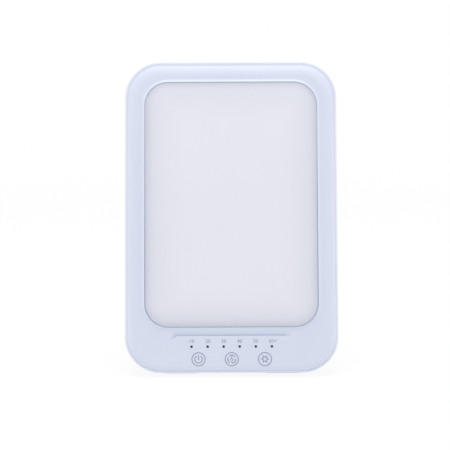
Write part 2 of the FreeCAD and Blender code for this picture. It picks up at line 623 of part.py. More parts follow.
def diffuser_gasket():
    """Four foam strips between the diffuser's flange and the reflector."""
    body = new_body("diffuser_gasket")
    reach = "(flange_reach - gasket_width / 2)"
    aside, above = f"({WINDOW_WIDTH} / 2 + {reach})", f"({WINDOW_HEIGHT} / 2 + {reach})"
    block(body, "SideStrips", mirrored(aside, WINDOW_Y), "gasket_width",
          f"({WINDOW_HEIGHT} - 2 * window_corner)", GASKET_LOW, FLANGE_LOW)
    block(body, "EndStrips", [("0", f"{WINDOW_Y} - {above}"), ("0", f"{WINDOW_Y} + {above}")],
          f"({WINDOW_WIDTH} - 2 * window_corner)", "gasket_width", GASKET_LOW, FLANGE_LOW)


def reflector_frame():
    """The white frame that stands on the light board and slopes outwards to the gasket."""
    body = new_body("reflector_frame")
    plate(body, "Frame", f"{WINDOW_WIDTH} + 2 * flange_reach",
          f"{WINDOW_HEIGHT} + 2 * flange_reach", "window_corner + flange_reach", BOARD_FRONT,
          GASKET_LOW, y=WINDOW_Y)
    recess(body, "Slope", WINDOW_WIDTH, WINDOW_HEIGHT, "window_corner", BOARD_FRONT, GASKET_LOW,
           y=WINDOW_Y, taper="-atan((light_inset + reflector_lap) / reflector_height)")


def led_board():
    """The board behind the diffuser, held between the tub's ribs and the reflector."""
    body = new_body("led_board")
    sketch = new_sketch(body, "BoardPlan", lift=BOARD_BACK)
    bevelled_rectangle(sketch, LIGHT_WIDTH, LIGHT_HEIGHT, "light_bevel", y=WINDOW_Y)
    pad(body, sketch, "board_thick", "Board")


def light_emitters(label, first_row):
    """Every other emitter of the light board's grid, in a chequered pattern."""
    body = new_body(label)
    start_x = f"(led_margin - {LIGHT_WIDTH} / 2)"
    start_y = f"({WINDOW_Y} + led_margin - {LIGHT_HEIGHT} / 2)"
    centres = [(f"{start_x} + {column} * {LED_STEP_X}",
                f"{start_y} + {(first_row + column) % 2} * {LED_STEP_Y}")
               for column in (0, 1)]
    chips = block(body, "Chips", centres, "led_width", "led_length", BOARD_FRONT,
                  f"{BOARD_FRONT} + led_height")
    doc.recompute()
    grid = body.newObject("PartDesign::MultiTransform", "Grid")
    grid.Originals = [chips]
    steps = []
    for name, way, pitch, count in (("AlongRows", "H_Axis", LED_STEP_X, LED_COLUMNS),
                                    ("UpColumns", "V_Axis", LED_STEP_Y, LED_ROWS)):
        step = body.newObject("PartDesign::LinearPattern", name)
        step.Direction = (chips.Profile[0], [way])
        step.Mode = "Spacing"
        step.setExpression("Offset", formula(f"2 * {pitch}"))
        step.Occurrences = count // 2
        steps.append(step)
    grid.Transformations = steps
    body.Tip = grid


# ---------------------------------------------------------------- control board

def control_board():
    """The board under the keys, held by the front frame's hooks."""
    body = new_body("control_board")
    block(body, "Board", [("0", CONTROL_Y)], CONTROL_WIDTH, "control_height", "control_level",
          CONTROL_FRONT)


def touch_controller_chip():
    """The flat chip in the middle of the board's back."""
    body = new_body("touch_controller_chip")
    block(body, "Package", [("0", CONTROL_Y)], "chip_side", "chip_side",
          "control_level - chip_height", "control_level")


def driver_inductor():
    """The shielded coil of the light driver."""
    body = new_body("driver_inductor")
    sketch = new_sketch(body, "ShieldPlan", lift="control_level - coil_height")
    bevelled_rectangle(sketch, "coil_side", "coil_side", "coil_bevel", "(-coil_place)", CONTROL_Y)
    pad(body, sketch, "coil_height", "Shield")


def smoothing_capacitor():
    """A can that lies on the board's back."""
    body = new_body("smoothing_capacitor")
    sketch = new_sketch(body, "CanSection", "YZ_Plane", lift="can_place - can_length / 2")
    circle(sketch, CONTROL_Y, "control_level - can_radius", "can_radius")
    pad(body, sketch, "can_length", "Can")


def touch_pillars():
    """Conductive foam from the board to the underside of each key."""
    body = new_body("touch_pillars")
    block(body, "Foam", KEYS, "foam_side", "foam_side", CONTROL_FRONT, BEZEL_UNDER)


def indicator_leds():
    """Six small emitters under the light guide."""
    body = new_body("indicator_leds")
    block(body, "Diodes", DOTS, "diode_length", "diode_width", CONTROL_FRONT,
          f"{CONTROL_FRONT} + diode_height")


def indicator_light_guide():
    """A bar over the emitters with six pins that end flush in the face."""
    body = new_body("indicator_light_guide")
    low = f"({CONTROL_FRONT} + diode_height + guide_gap)"
    high = f"({low} + guide_thick)"
    block(body, "Bar", [("0", DOT_Y)], "(5 * dot_pitch + 2 * guide_width)", "guide_width",
          low, high)
    columns(body, "Pins", DOTS, "dot_radius", high, "face_level")


def dc_socket():
    """The upright inlet on the board's back, with its nose through the rear cover."""
    body = new_body("dc_socket")
    block(body, "Housing", SOCKET, "socket_side", "socket_side", "socket_foot",
          "control_level")
    columns(body, "Nose", SOCKET, "nose_radius", "nose_inset", "socket_foot")
    holes(body, "PlugBore", SOCKET, "plug_bore", "nose_inset", "nose_inset + plug_depth")
    holes(body, "PinSeat", SOCKET, "centre_radius", "nose_inset + plug_depth",
          "nose_inset + plug_depth + centre_root")


def dc_centre_pin():
    """The centre contact that stands in the inlet."""
    body = new_body("dc_centre_pin")
    columns(body, "Contact", SOCKET, "centre_radius", "nose_inset + centre_inset",
            "nose_inset + plug_depth + centre_root")


def ribbon_plugs():
    """Two small plugs on the backs of the boards, joined by the ribbon."""
    body = new_body("ribbon_plugs")
    block(body, "ControlPlug", [("link_place", f"{LINK_LOW} - plug_length / 2")],
          "plug_width", "plug_length", "control_level - plug_height", "control_level")
    block(body, "LightPlug", [("link_place", f"{LINK_HIGH} + plug_length / 2")],
          "plug_width", "plug_length", f"{BOARD_BACK} - plug_height", BOARD_BACK)


def link_ribbon():
    """The flat lead that runs straight from plug to plug."""
    body = new_body("link_ribbon")
    block(body, "Ribbon", [("link_place", f"({LINK_LOW} + {LINK_HIGH}) / 2")], "ribbon_width",
          f"({LINK_HIGH} - {LINK_LOW})", "ribbon_level", "ribbon_level + ribbon_thick")


# ---------------------------------------------------------------- swivel hub

def swivel_hub():
    """The disc in the well, its spindle through the back, its peg and two hinge ears."""
    body = new_body("swivel_hub")
    columns(body, "Disc", HUB, "well_radius - hub_gap", "0", "hub_thick")
    columns(body, "Spindle", HUB, "bore_radius - bore_gap", "hub_thick", SPINDLE_TOP)
    peg = [("0", f"{HUB_Y} + track_ring")]
    columns(body, "Peg", peg, "peg_radius", "hub_thick", "hub_thick + peg_reach")
    holes(body, "ScrewHole", HUB, "pivot_shank + hole_gap",
          f"{SPINDLE_TOP} - pivot_reach - blind", SPINDLE_TOP)
    for name, side in (("LeftEar", "-(ear_thick + inner)"), ("RightEar", "inner")):
        sketch = new_sketch(body, f"{name}Side", "YZ_Plane",
                            lift=side.replace("inner", EAR_INSIDE))
        outline(sketch, [(f"{HINGE_Y} + ear_foot", "0"),
                         (f"{HINGE_Y} + ear_foot", "hub_thick / 2"),
                         (f"{HINGE_Y} - ear_foot", "hub_thick / 2"),
                         (f"{HINGE_Y} - ear_foot", "0"),
                         (f"{HINGE_Y} - ear_radius", "-hinge_rise", HALF_ROUND),
                         (f"{HINGE_Y} + ear_radius", "-hinge_rise")])
        pad(body, sketch, "ear_thick", name)
    bore = new_sketch(body, "PinBoreSide", "YZ_Plane", lift=f"{EAR_INSIDE} + ear_thick")
    circle(bore, HINGE_Y, "-hinge_rise", "pin_radius + ear_gap")
    pocket(body, bore, f"2 * ({EAR_INSIDE} + ear_thick)", "PinBore")


def hub_pivot():
    """The steel plate behind the back wall and the screw that ties it to the spindle."""
    top = f"({SPINDLE_TOP} + holder_thick)"
    holder = new_body("hub_holder")
    plan = new_sketch(holder, "PlatePlan", lift=SPINDLE_TOP)
    bevelled_rectangle(plan, "holder_side", "holder_side", "holder_bevel", *HUB[0])
    pad(holder, plan, "holder_thick", "Plate")
    holes(holder, "Eye", HUB, "pivot_shank + hole_gap", SPINDLE_TOP, top)
    screw = new_body("hub_screw")
    columns(screw, "Head", HUB, "pivot_head", top, f"{top} + pivot_height")
    columns(screw, "Shank", HUB, "pivot_shank", f"{SPINDLE_TOP} - pivot_reach", top)


def across_hinge(body, name, begin, length, radius):
    """A round bar on the hinge axis that starts at one x."""
    sketch = new_sketch(body, f"{name}Section", "YZ_Plane", lift=begin)
    circle(sketch, HINGE_Y, "-hinge_rise", radius)
    return pad(body, sketch, length, name)


def hinge_pieces():
    """The pin with its head, and the clip on its other end."""
    outside = f"({EAR_INSIDE} + ear_thick)"
    pin_body = new_body("hinge_pin")
    across_hinge(pin_body, "Shaft", f"-{outside}", f"2 * {outside} + clip_thick", "pin_radius")
    across_hinge(pin_body, "Head", f"-{outside} - pin_head_thick", "pin_head_thick",
                 "pin_head")
    clip = new_body("pin_clip")
    across_hinge(clip, "Clip", outside, "clip_thick", "clip_radius")
    eye = new_sketch(clip, "EyeSection", "YZ_Plane", lift=f"{outside} + clip_thick")
    circle(eye, HINGE_Y, "-hinge_rise", "pin_radius + ear_gap")
    pocket(clip, eye, "clip_thick", "Eye")


# ---------------------------------------------------------------- leg

def stand_leg():
    """The tapered channel with cross ribs, and the hinge tongue with its heel."""
    body = new_body("stand_leg", "leg")
    sketch = new_sketch(body, "ShinPlan", lift=LEG_OUTSIDE)
    outline(sketch, [("-ankle_half", f"-{LEG_END}"), ("ankle_half", f"-{LEG_END}"),
                     ("shoulder_half", "-shoulder_drop"), ("-shoulder_half", "-shoulder_drop")])
    shin = pad(body, sketch, "leg_depth", "Shin")
    shoulder = value("-shoulder_drop")
    shoulders = round_edges(body, shin, "shoulder_round", "Shoulders",
                            lambda box: box.ZLength > NEAR and box.YMin > shoulder - NEAR)
    outside = value(LEG_OUTSIDE)
    round_edges(body, shoulders, "leg_edge", "OuterEdge",
                lambda box: box.ZMax < outside + NEAR, kind="Chamfer")
    leg_cells(body)
    tongue(body)
    slot = new_sketch(body, "FootSlotPlan", "XZ_Plane", lift=LEG_END)
    middle = f"({LEG_OUTSIDE} + leg_depth / 2)"
    outline(slot, [("-plug_half", f"{middle} - plug_thick / 2"),
                   ("plug_half", f"{middle} - plug_thick / 2"),
                   ("plug_half", f"{middle} + plug_thick / 2"),
                   ("-plug_half", f"{middle} + plug_thick / 2")])
    pocket(body, slot, "foot_plug", "FootSlot")


def leg_cells(body):
    """Cells between the cross ribs, cut from the side that faces the lamp."""
    sketch = new_sketch(body, "CellPlan", lift=LEG_INSIDE)
    top, bottom = "(-shoulder_drop - cell_head)", f"(-{LEG_END} + leg_end_wall)"
    cell = f"(({top} - {bottom} - (rib_cells - 1) * rib_thick) / rib_cells)"

    def half(y):
        """Half the channel's inner width at a place along the leg."""
        along = f"(({y}) + shoulder_drop) / (shoulder_drop - {LEG_END})"
        return f"(shoulder_half - leg_wall - (shoulder_half - ankle_half) * {along})"

    for index in range(int(SIZES["rib_cells"])):
        high = f"({top} - {index} * ({cell} + rib_thick))"
        low = f"({high} - {cell})"
        corners = [(f"-{half(low)}", low), (half(low), low),
                   (half(high), high), (f"-{half(high)}", high)]
        if index == 0:
            nick = "(shoulder_round - leg_wall)"
            drop = f"({high} - {nick})"
            corners[2:] = [(half(drop), drop), (f"{half(high)} - {nick}", high),
                           (f"-{half(high)} + {nick}", high), (f"-{half(drop)}", drop)]
        outline(sketch, corners)
    pocket(body, sketch, "leg_depth - leg_skin", "Cells")


def tongue(body):
    """The barrel round the pin and the heel whose flat meets the hub when the leg is open."""
    sketch = new_sketch(body, "TongueSide", "YZ_Plane", lift="-tongue_half")
    touch = "(hinge_rise - heel_gap)"
    flat = f"(({touch} - heel_reach * sin(leg_opening)) / cos(leg_opening))"
    buried = "(-shoulder_drop - leg_wall / 2)"
    outline(sketch, [(buried, LEG_OUTSIDE),
                     ("heel_reach - heel_round", LEG_OUTSIDE, "heel_round"),
                     ("heel_reach", f"{LEG_OUTSIDE} + heel_round"),
                     ("heel_reach", flat),
                     (f"{touch} * sin(leg_opening)", f"{touch} * cos(leg_opening)"),
                     ("0", LEG_INSIDE), (buried, LEG_INSIDE)])
    pad(body, sketch, "2 * tongue_half", "Tongue")
    bore = new_sketch(body, "PinBoreSide", "YZ_Plane", lift="tongue_half")
    circle(bore, "0", "0", "pin_radius + pin_gap")
    pocket(body, bore, "2 * tongue_half", "PinBore")


def leg_foot():
    """The rubber foot: a sole cut to lie flat on the floor and a plug in the leg's end."""
    body = new_body("leg_foot", "leg")
    sketch = new_sketch(body, "SoleSide", "YZ_Plane", lift="-ankle_half")
    outline(sketch, [(f"-{LEG_END}", LEG_OUTSIDE), (f"-{LEG_END}", LEG_INSIDE),
                     (f"-{SOLE_INSIDE}", LEG_INSIDE), (f"-{SOLE_OUTSIDE}", LEG_OUTSIDE)])
    sole = pad(body, sketch, "2 * ankle_half", "Sole")
    end = value(f"-{LEG_END}")
    round_edges(body, sole, "foot_round", "SoleCorners",
                lambda box: box.YLength > NEAR and box.YMax > end - NEAR
                and box.ZLength < NEAR and box.XLength < NEAR)
    plug = new_sketch(body, "PlugEnd", "XZ_Plane", lift=LEG_END)
    middle, half = f"({LEG_OUTSIDE} + leg_depth / 2)", "(plug_half - foot_grip)"
    thick = "(plug_thick / 2 - foot_grip)"
    outline(plug, [(f"-{half}", f"{middle} - {thick}"), (half, f"{middle} - {thick}"),
                   (half, f"{middle} + {thick}"), (f"-{half}", f"{middle} + {thick}")])
    pad(body, plug, "foot_plug - foot_grip", "Plug", backwards=True)


# ---------------------------------------------------------------- build, check and write

rear_cover()
front_cover()
edge_pads()
housing_screws()
diffuser_panel()
diffuser_gasket()
reflector_frame()
led_board()
light_emitters("cool_white_leds", 0)
light_emitters("warm_white_leds", 1)
control_board()
touch_controller_chip()
driver_inductor()
smoothing_capacitor()
touch_pillars()
indicator_leds()
indicator_light_guide()
dc_socket()
dc_centre_pin()
ribbon_plugs()
link_ribbon()
swivel_hub()
hub_pivot()
hinge_pieces()
stand_leg()
leg_foot()
doc.recompute()

faults = []
for item in doc.Objects:
    if {"Invalid", "Error"} & set(item.State):
        faults.append(f"{item.Name}: {item.State}")
    if item.TypeId == "Sketcher::SketchObject" and not item.FullyConstrained:
        faults.append(f"{item.Name}: loose sketch")
    if item.TypeId.startswith(("PartDesign::Pocket", "PartDesign::Subtractive")):
        left, before = item.Shape, item.BaseFeature.Shape
        if left.isNull() or before.isNull() or left.Volume > before.Volume - NEAR:
            faults.append(f"{item.Name}: cuts nothing")
for body in SUB_PARTS:
    if body.Shape.isNull() or not body.Shape.isValid():
        faults.append(f"{body.Label}: bad shape")
if faults:
    raise RuntimeError("; ".join(faults))

os.makedirs("parts", exist_ok=True)
for body in SUB_PARTS:
    body.Shape.exportStep(f"parts/{body.Label}.step")
    print(f"{body.Label:24s} {len(body.Shape.Solids):3d} solids {body.Shape.Volume:10.1f} mm3")
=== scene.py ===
"""Looks of a light therapy lamp: a pillowed diffuser in a crowned frame, on a folding leg.

Pieces are drawn in the lamp's own space, in millimetres: x to the right seen from the front,
y up the face and z out of the face, with z = 0 on the flat back and x = y = 0 in the middle
of the case. LampSpace carries them into the scene, which is in metres.
"""

from __future__ import annotations

import json
import logging
import math
from dataclasses import dataclass
from enum import Enum
from typing import Any, Callable, Iterable, Sequence

import bmesh
import bpy
import numpy as np
from mathutils import Matrix, Vector
from mathutils.geometry import delaunay_2d_cdt

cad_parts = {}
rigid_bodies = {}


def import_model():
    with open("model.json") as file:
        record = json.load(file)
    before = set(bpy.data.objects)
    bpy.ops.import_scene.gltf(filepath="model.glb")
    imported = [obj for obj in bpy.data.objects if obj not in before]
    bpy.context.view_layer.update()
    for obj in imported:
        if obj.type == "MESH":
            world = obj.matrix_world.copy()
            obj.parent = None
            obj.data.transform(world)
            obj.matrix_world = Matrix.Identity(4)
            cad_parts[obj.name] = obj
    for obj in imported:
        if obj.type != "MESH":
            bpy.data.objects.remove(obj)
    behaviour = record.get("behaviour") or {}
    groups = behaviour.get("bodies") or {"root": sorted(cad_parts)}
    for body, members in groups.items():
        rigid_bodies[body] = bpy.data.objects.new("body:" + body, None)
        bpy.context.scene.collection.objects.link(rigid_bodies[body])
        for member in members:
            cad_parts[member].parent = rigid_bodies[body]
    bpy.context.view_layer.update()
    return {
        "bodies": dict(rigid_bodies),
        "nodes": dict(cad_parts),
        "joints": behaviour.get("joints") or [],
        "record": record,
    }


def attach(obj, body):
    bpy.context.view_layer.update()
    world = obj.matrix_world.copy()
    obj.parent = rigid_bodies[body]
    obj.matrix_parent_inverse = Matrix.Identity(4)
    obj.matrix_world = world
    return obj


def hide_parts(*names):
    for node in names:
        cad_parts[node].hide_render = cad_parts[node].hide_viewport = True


LOG = logging.getLogger("lamp")
METRES = 0.001
WHITE = (1.0, 1.0, 1.0)
CENTRE = (0.0, 0.0)

Colour = tuple[float, float, float]
Levels = tuple[int, int, int]
Flat = tuple[float, float]
Noise = tuple[float, float, float]
Surface = Callable[[float, float], float]
Test = Callable[[float, float], bool]
Arc = tuple[float, float, int]
Stroke = tuple[Sequence[Flat], float | Sequence[float], bool]
Steps = tuple[float, ...]
Extras = tuple[tuple[str, Any], ...]
Item = bpy.types.Object
Socket = bpy.types.NodeSocket


# ------------------------------ names of the frame

class Body(Enum):
    """The body of the frame that the new pieces ride on."""

    LAMP = "lamp"


class Slot(Enum):
    """The record's material slots that match the new pieces' finishes."""

    HOUSING = "white_housing"
    DIFFUSER = "opal_diffuser"
    STEEL = "zinc_steel"


# ------------------------------ lamp space

@dataclass
class LampSpace:
    """The lamp's own space and its way into the scene.

    Attributes:
        to_scene: Matrix from lamp millimetres to scene metres.
    """

    to_scene: Matrix

    @classmethod
    def from_frame(cls, frame: dict[str, Any]) -> LampSpace:
        """Find the space from the stand's swivel, whose axis is square to the back.


        Returns:
            The space, centred on the rear cover.
        """
        swivel = next(j for j in frame["joints"] if j["name"] == "stand_swivel")
        out = Vector(swivel["axis"]).normalized()
        right = Vector((1.0, 0.0, 0.0))
        up = out.cross(right)
        turn = Matrix((right, up, out)).transposed().to_4x4()
        space = cls(Matrix.Translation(swivel["pos_m"]) @ turn @ Matrix.Scale(METRES, 4))
        low, high = space.extent(frame["nodes"]["rear_cover"])
        middle = Vector(((low.x + high.x) / 2, (low.y + high.y) / 2, 0.0))
        return cls(space.to_scene @ Matrix.Translation(middle))

    def extent(self, item: Item) -> tuple[Vector, Vector]:
        """Measure an object along the lamp's own axes.

        Args:
            item: A mesh object whose object sits at the origin.

        Returns:
            Its lowest and highest corner in lamp millimetres.
        """
        back = self.to_scene.inverted()
        spots = np.array([back @ v.co for v in item.data.vertices])
        return Vector(spots.min(axis=0)), Vector(spots.max(axis=0))


# ------------------------------ flat geometry

def polar(radius: float, angles: Iterable[float], centre: Flat = CENTRE) -> list[Flat]:
    """Find the places on a circle at those angles in radians."""
    return [(centre[0] + radius * math.cos(a), centre[1] + radius * math.sin(a)) for a in angles]


def circle_walk(centre: Flat, radius: float, steps: int = 28) -> list[Flat]:
    """Walk once round a circle in that many steps, turning left."""
    return polar(radius, (2 * math.pi * step / steps for step in range(steps)), centre)


@dataclass(frozen=True)
class RoundBox:
    """A rectangle with round corners, in the plane of the face.

    Attributes:
        width: Size along x.
        height: Size along y.
        corner: Radius of the corners.
        middle: Its centre.
    """

    LEAST_CORNER = 0.05
    CORNER_STEPS = 14
    SIDE_STEPS = 8

    width: float
    height: float
    corner: float
    middle: Flat = CENTRE

    def grown(self, by: float) -> RoundBox:
        """The same rectangle with its sides moved outwards, or inwards when negative."""
        return RoundBox(self.width + 2 * by, self.height + 2 * by,
                        max(self.corner + by, self.LEAST_CORNER), self.middle)

    def depth(self, x: float, y: float) -> float:
        """Measure how far inside the outline a place lies.

        Args:
            x: The place along the width.
            y: The place along the height.

        Returns:
            The distance to the outline, negative outside it.
        """
        across = abs(x - self.middle[0]) - self.width / 2 + self.corner
        along = abs(y - self.middle[1]) - self.height / 2 + self.corner
        outside = math.hypot(max(across, 0.0), max(along, 0.0))
        return self.corner - outside - min(max(across, along), 0.0)

    def contour(self) -> list[Flat]:
        """Walk once round the outline, turning left.

        Returns:
            The places passed, the same number for every rectangle.
        """
        x, y = self.width / 2 - self.corner, self.height / 2 - self.corner
        quarter, steps = math.pi / 2, self.SIDE_STEPS
        corners = [polar(self.corner, (quarter * (index - 1 + step / self.CORNER_STEPS)
                                       for step in range(self.CORNER_STEPS + 1)), hub)
                   for index, hub in enumerate(((x, -y), (x, y), (-x, y), (-x, -y)))]
        walk: list[Flat] = []
        for corner, following in zip(corners, corners[1:] + corners[:1]):
            walk += corner
            (from_x, from_y), (to_x, to_y) = corner[-1], following[0]
            walk += [(from_x + (to_x - from_x) * step / steps,
                      from_y + (to_y - from_y) * step / steps) for step in range(1, steps)]
        return [(x + self.middle[0], y + self.middle[1]) for x, y in walk]


def ease(share: float) -> float:
    """Rise smoothly from 0 to 1 while the share does."""
    share = min(max(share, 0.0), 1.0)
    return share * share * (3 - 2 * share)


def roll(share: float) -> float:
    """Fall of a rounded edge, 1 at the edge itself and 0 from where the share is 1."""
    left = 1 - min(share, 1.0)
    return 1 - math.sqrt(max(1 - left ** 2, 0.0))


def arc_drop(left: float, reach: float, drop: float) -> float:
    """Fall of an arc with that reach and whole drop, where its flat end is left away."""
    radius = (reach ** 2 + drop ** 2) / 2 / drop
    return radius - math.sqrt(radius ** 2 - max(left, 0.0) ** 2)


# ------------------------------ mesh building

def put_in_scene(data: bpy.types.ID) -> Item:
    """Put new data into the scene.

    Args:
        data: A mesh, a light or a camera.

    Returns:
        Its object, which has the same name.
    """
    item = bpy.data.objects.new(data.name, data)
    bpy.context.scene.collection.objects.link(item)
    return item


class Draft:
    """Points and faces in lamp millimetres that become one object."""

    WELD = 1e-4
    CROSSING = 1e-6

    def __init__(self) -> None:
        """Start with nothing."""
        self.points: list[tuple[float, float, float]] = []
        self.faces: list[tuple[int, ...]] = []

    def ring(self, walk: Iterable[Flat], level: float | Surface) -> list[int]:
        """Add points along a walk.

        Args:
            walk: Places in the plane of the face.
            level: Their height, or a function that gives it from x and y.

        Returns:
            The numbers of the new points.
        """
        first = len(self.points)
        for x, y in walk:
            self.points.append((x, y, level(x, y) if callable(level) else level))
        return list(range(first, len(self.points)))

    def bands(self, *rings: list[int]) -> None:
        """Join closed rings of the same number of points in their order."""
        for outer, inner in zip(rings, rings[1:]):
            self.faces += zip(outer, outer[1:] + outer[:1], inner[1:] + inner[:1], inner)

    def cap(self, ring: Sequence[int]) -> None:
        """Close a ring with one face."""
        self.faces.append(tuple(ring))

    def sheet(self, walks: Sequence[Sequence[Flat]], keep: Test, level: Surface,
              open_walks: Sequence[Sequence[Flat]] = ()) -> None:
        """Fill a flat region with triangles and lift it to a height.

        Args:
            walks: Closed lines that triangles don't cross.
            keep: Tells from x and y whether a triangle with that middle is wanted.
            level: Gives the height from x and y.
            open_walks: Open lines that triangles don't cross.
        """
        places: list[Flat] = []
        edges: list[tuple[int, int]] = []
        for walk, closed in [(w, True) for w in walks] + [(w, False) for w in open_walks]:
            first, count = len(places), len(walk)
            places.extend(walk)
            edges.extend((first + i, first + (i + 1) % count)
                         for i in range(count if closed else count - 1))
        corners, _, triangles, *_ = delaunay_2d_cdt(
            [Vector(place) for place in places], edges, [], 0, self.CROSSING)
        numbers = self.ring([(c.x, c.y) for c in corners], level)
        for triangle in triangles:
            middle = [sum(corners[i][axis] for i in triangle) / 3 for axis in (0, 1)]
            if keep(*middle):
                self.faces.append(tuple(numbers[i] for i in triangle))

    def finish(self, name: str, space: LampSpace, sharp: float) -> Item:
        """Turn the points and faces into an object of the scene.

        Args:
            name: The object's name.
            space: The space they were drawn in.
            sharp: Angle in degrees above which an edge stays sharp.

        Returns:
            The new object.
        """
        mesh = bpy.data.meshes.new(name)
        mesh.from_pydata(self.points, [], self.faces)
        return self.show(mesh, space.to_scene, sharp)

    @classmethod
    def show(cls, mesh: bpy.types.Mesh, to_scene: Matrix, sharp: float) -> Item:
        """Weld a mesh, carry it into the scene and shade it smooth between sharp edges.

        Args:
            mesh: A mesh in millimetres, which gives the object its name.
            to_scene: Matrix into scene metres.
            sharp: Angle in degrees above which an edge stays sharp.

        Returns:
            The new object, linked to the scene.
        """
        form = bmesh.new()
        form.from_mesh(mesh)
        bmesh.ops.remove_doubles(form, verts=form.verts, dist=cls.WELD)
        loose = [v for v in form.verts if not v.link_faces]
        bmesh.ops.delete(form, geom=loose, context="VERTS")
        bmesh.ops.recalc_face_normals(form, faces=form.faces)
        bmesh.ops.transform(form, matrix=to_scene, verts=form.verts)
        form.to_mesh(mesh)
        form.free()
        mesh.shade_smooth()
        mesh.set_sharp_from_angle(angle=math.radians(sharp))
        return put_in_scene(mesh)


# ------------------------------ shader maths

class Field:
    """A number that varies over a surface, used in plain arithmetic."""

    def __init__(self, graph: Graph, socket: Socket) -> None:
        """Wrap an output socket."""
        self.graph = graph
        self.socket = socket

    def _maths(self, operation: str, *operands: Field | float) -> Field:
        """Add one Math node."""
        return self.graph.field(0, "ShaderNodeMath", {"operation": operation},
                                dict(enumerate(operands)))

    def __add__(self, other: Field | float) -> Field:
        """Sum."""
        return self._maths("ADD", self, other)

    __radd__ = __add__

    def __sub__(self, other: Field | float) -> Field:
        """Difference."""
        return self._maths("SUBTRACT", self, other)

    def __rsub__(self, other: float) -> Field:
        """Difference from a number."""
        return self._maths("SUBTRACT", other, self)

    def __mul__(self, other: Field | float) -> Field:
        """Product."""
        return self._maths("MULTIPLY", self, other)

    __rmul__ = __mul__

    def __abs__(self) -> Field:
        """Distance from zero."""
        return self._maths("ABSOLUTE", self)

    def root(self) -> Field:
        """Square root."""
        return self._maths("SQRT", self)

    def at_least(self, floor: Field | float) -> Field:
        """The larger of two numbers."""
        return self._maths("MAXIMUM", self, floor)

    def at_most(self, top: Field | float) -> Field:
        """The smaller of two numbers."""
        return self._maths("MINIMUM", self, top)

    def bounded(self) -> Field:
        """The same, kept between 0 and 1."""
        return self.graph.field(0, "ShaderNodeClamp", {}, {"Value": self})


class Graph:
    """The nodes of one material, or of the world.

    Attributes:
        MIX_INPUTS: Numbers of a Mix node's factor and of its two colours.
        MIX_OUTPUT: Number of its mixed colour.
    """

    MIX_INPUTS = (0, 6, 7)
    MIX_OUTPUT = 2

    def __init__(self, name: str, owner: bpy.types.ID | None = None) -> None:
        """Start an empty tree.

        Args:
            name: What a new material is called.
            owner: What else the tree belongs to, such as the world.
        """
        self.owner = owner or bpy.data.materials.new(name)
        self.owner.use_nodes = True
        self.tree = self.owner.node_tree
        self.tree.nodes.clear()

    def add(self, kind: str, settings: dict[str, Any] | None = None,
            sockets: dict[str | int, Any] | None = None) -> bpy.types.Node:
        """Add any node.

        Args:
            kind: The node's type.
            settings: Its settings; "stops" fills a ramp with (place, colour) pairs.
            sockets: Values or links for its inputs, by name or number.

        Returns:
            The node.
        """
        node = self.tree.nodes.new(kind)
        for name, setting in (settings or {}).items():
            if name == "stops":
                ramp = node.color_ramp
                while len(ramp.elements) < len(setting):
                    ramp.elements.new(1.0)
                for element, (place, colour) in zip(ramp.elements, setting):
                    element.position = place
                    element.color = (*colour, 1.0)
            else:
                setattr(node, name, setting)
        for name, entry in (sockets or {}).items():
            socket = node.inputs[name]
            if isinstance(entry, Field):
                self.tree.links.new(entry.socket, socket)
            elif isinstance(entry, Socket):
                self.tree.links.new(entry, socket)
            elif isinstance(entry, tuple) and socket.type == "RGBA":
                socket.default_value = (*entry, 1.0)
            else:
                socket.default_value = entry
        return node

    def field(self, output: str | int, *node: Any) -> Field:
        """Add any node and wrap one of its outputs."""
        return Field(self, self.add(*node).outputs[output])

    def place(self) -> Socket:
        """Add the object's own coordinates."""
        return self.add("ShaderNodeTexCoord").outputs["Object"]

    def noise(self, size: float, detail: float, rough: float) -> Field:
        """Add noise fixed to the object, whose blots have that size in millimetres."""
        return self.field("Fac", "ShaderNodeTexNoise", {}, {
            "Vector": self.place(), "Scale": 1 / (size * METRES), "Detail": detail,
            "Roughness": rough})

    def inside(self, outline: RoundBox, space: LampSpace) -> Field:
        """Measure how far inside an outline of the lamp each place lies.

        Args:
            outline: The outline.
            space: The space that it is in.

        Returns:
            The distance in millimetres.
        """
        place, past = self.place(), []
        for row, centre, size in zip(
                space.to_scene.inverted(), outline.middle, (outline.width, outline.height)):
            along = self.field("Value", "ShaderNodeVectorMath", {"operation": "DOT_PRODUCT"},
                               {0: place, 1: tuple(row[:3])}) + (row[3] - centre)
            past.append(abs(along) - (size / 2 - outline.corner))
        far_x, far_y = (over.at_least(0.0) for over in past)
        outside = (far_x * far_x + far_y * far_y).root()
        return outline.corner - outside - past[0].at_least(past[1]).at_most(0.0)

    def blend(self, share: Field | Socket | float, first: Any, second: Any) -> Socket:
        """Mix two colours or sockets by the share of the second."""
        sockets = dict(zip(self.MIX_INPUTS, (share, first, second)))
        return self.add("ShaderNodeMix", {"data_type": "RGBA"}, sockets).outputs[self.MIX_OUTPUT]

    def bump(self, height: Field, depth: float) -> Socket:
        """Raise the surface by a height from 0 to 1, where 1 is that depth in millimetres."""
        sockets = {"Strength": 1.0, "Distance": depth * METRES, "Height": height}
        return self.add("ShaderNodeBump", {}, sockets).outputs["Normal"]

    def close(self, **sockets: Any) -> bpy.types.Material:
        """End the tree in one surface.

        Args:
            sockets: The surface's inputs, with _ for each space.

        Returns:
            The material.
        """
        surface = self.add("ShaderNodeBsdfPrincipled", {}, {
            name.replace("_", " "): entry for name, entry in sockets.items()})
        self.add("ShaderNodeOutputMaterial", {}, {"Surface": surface.outputs[0]})
        return self.owner


# ------------------------------ finishes

def linear(levels: Levels) -> Colour:
    """Turn a screen's red, green and blue, from 0 to 255, into linear light."""
    shares = [level / 255 for level in levels]
    return tuple(s / 12.92 if s <= 0.04045 else ((s + 0.055) / 1.055) ** 2.4 for s in shares)


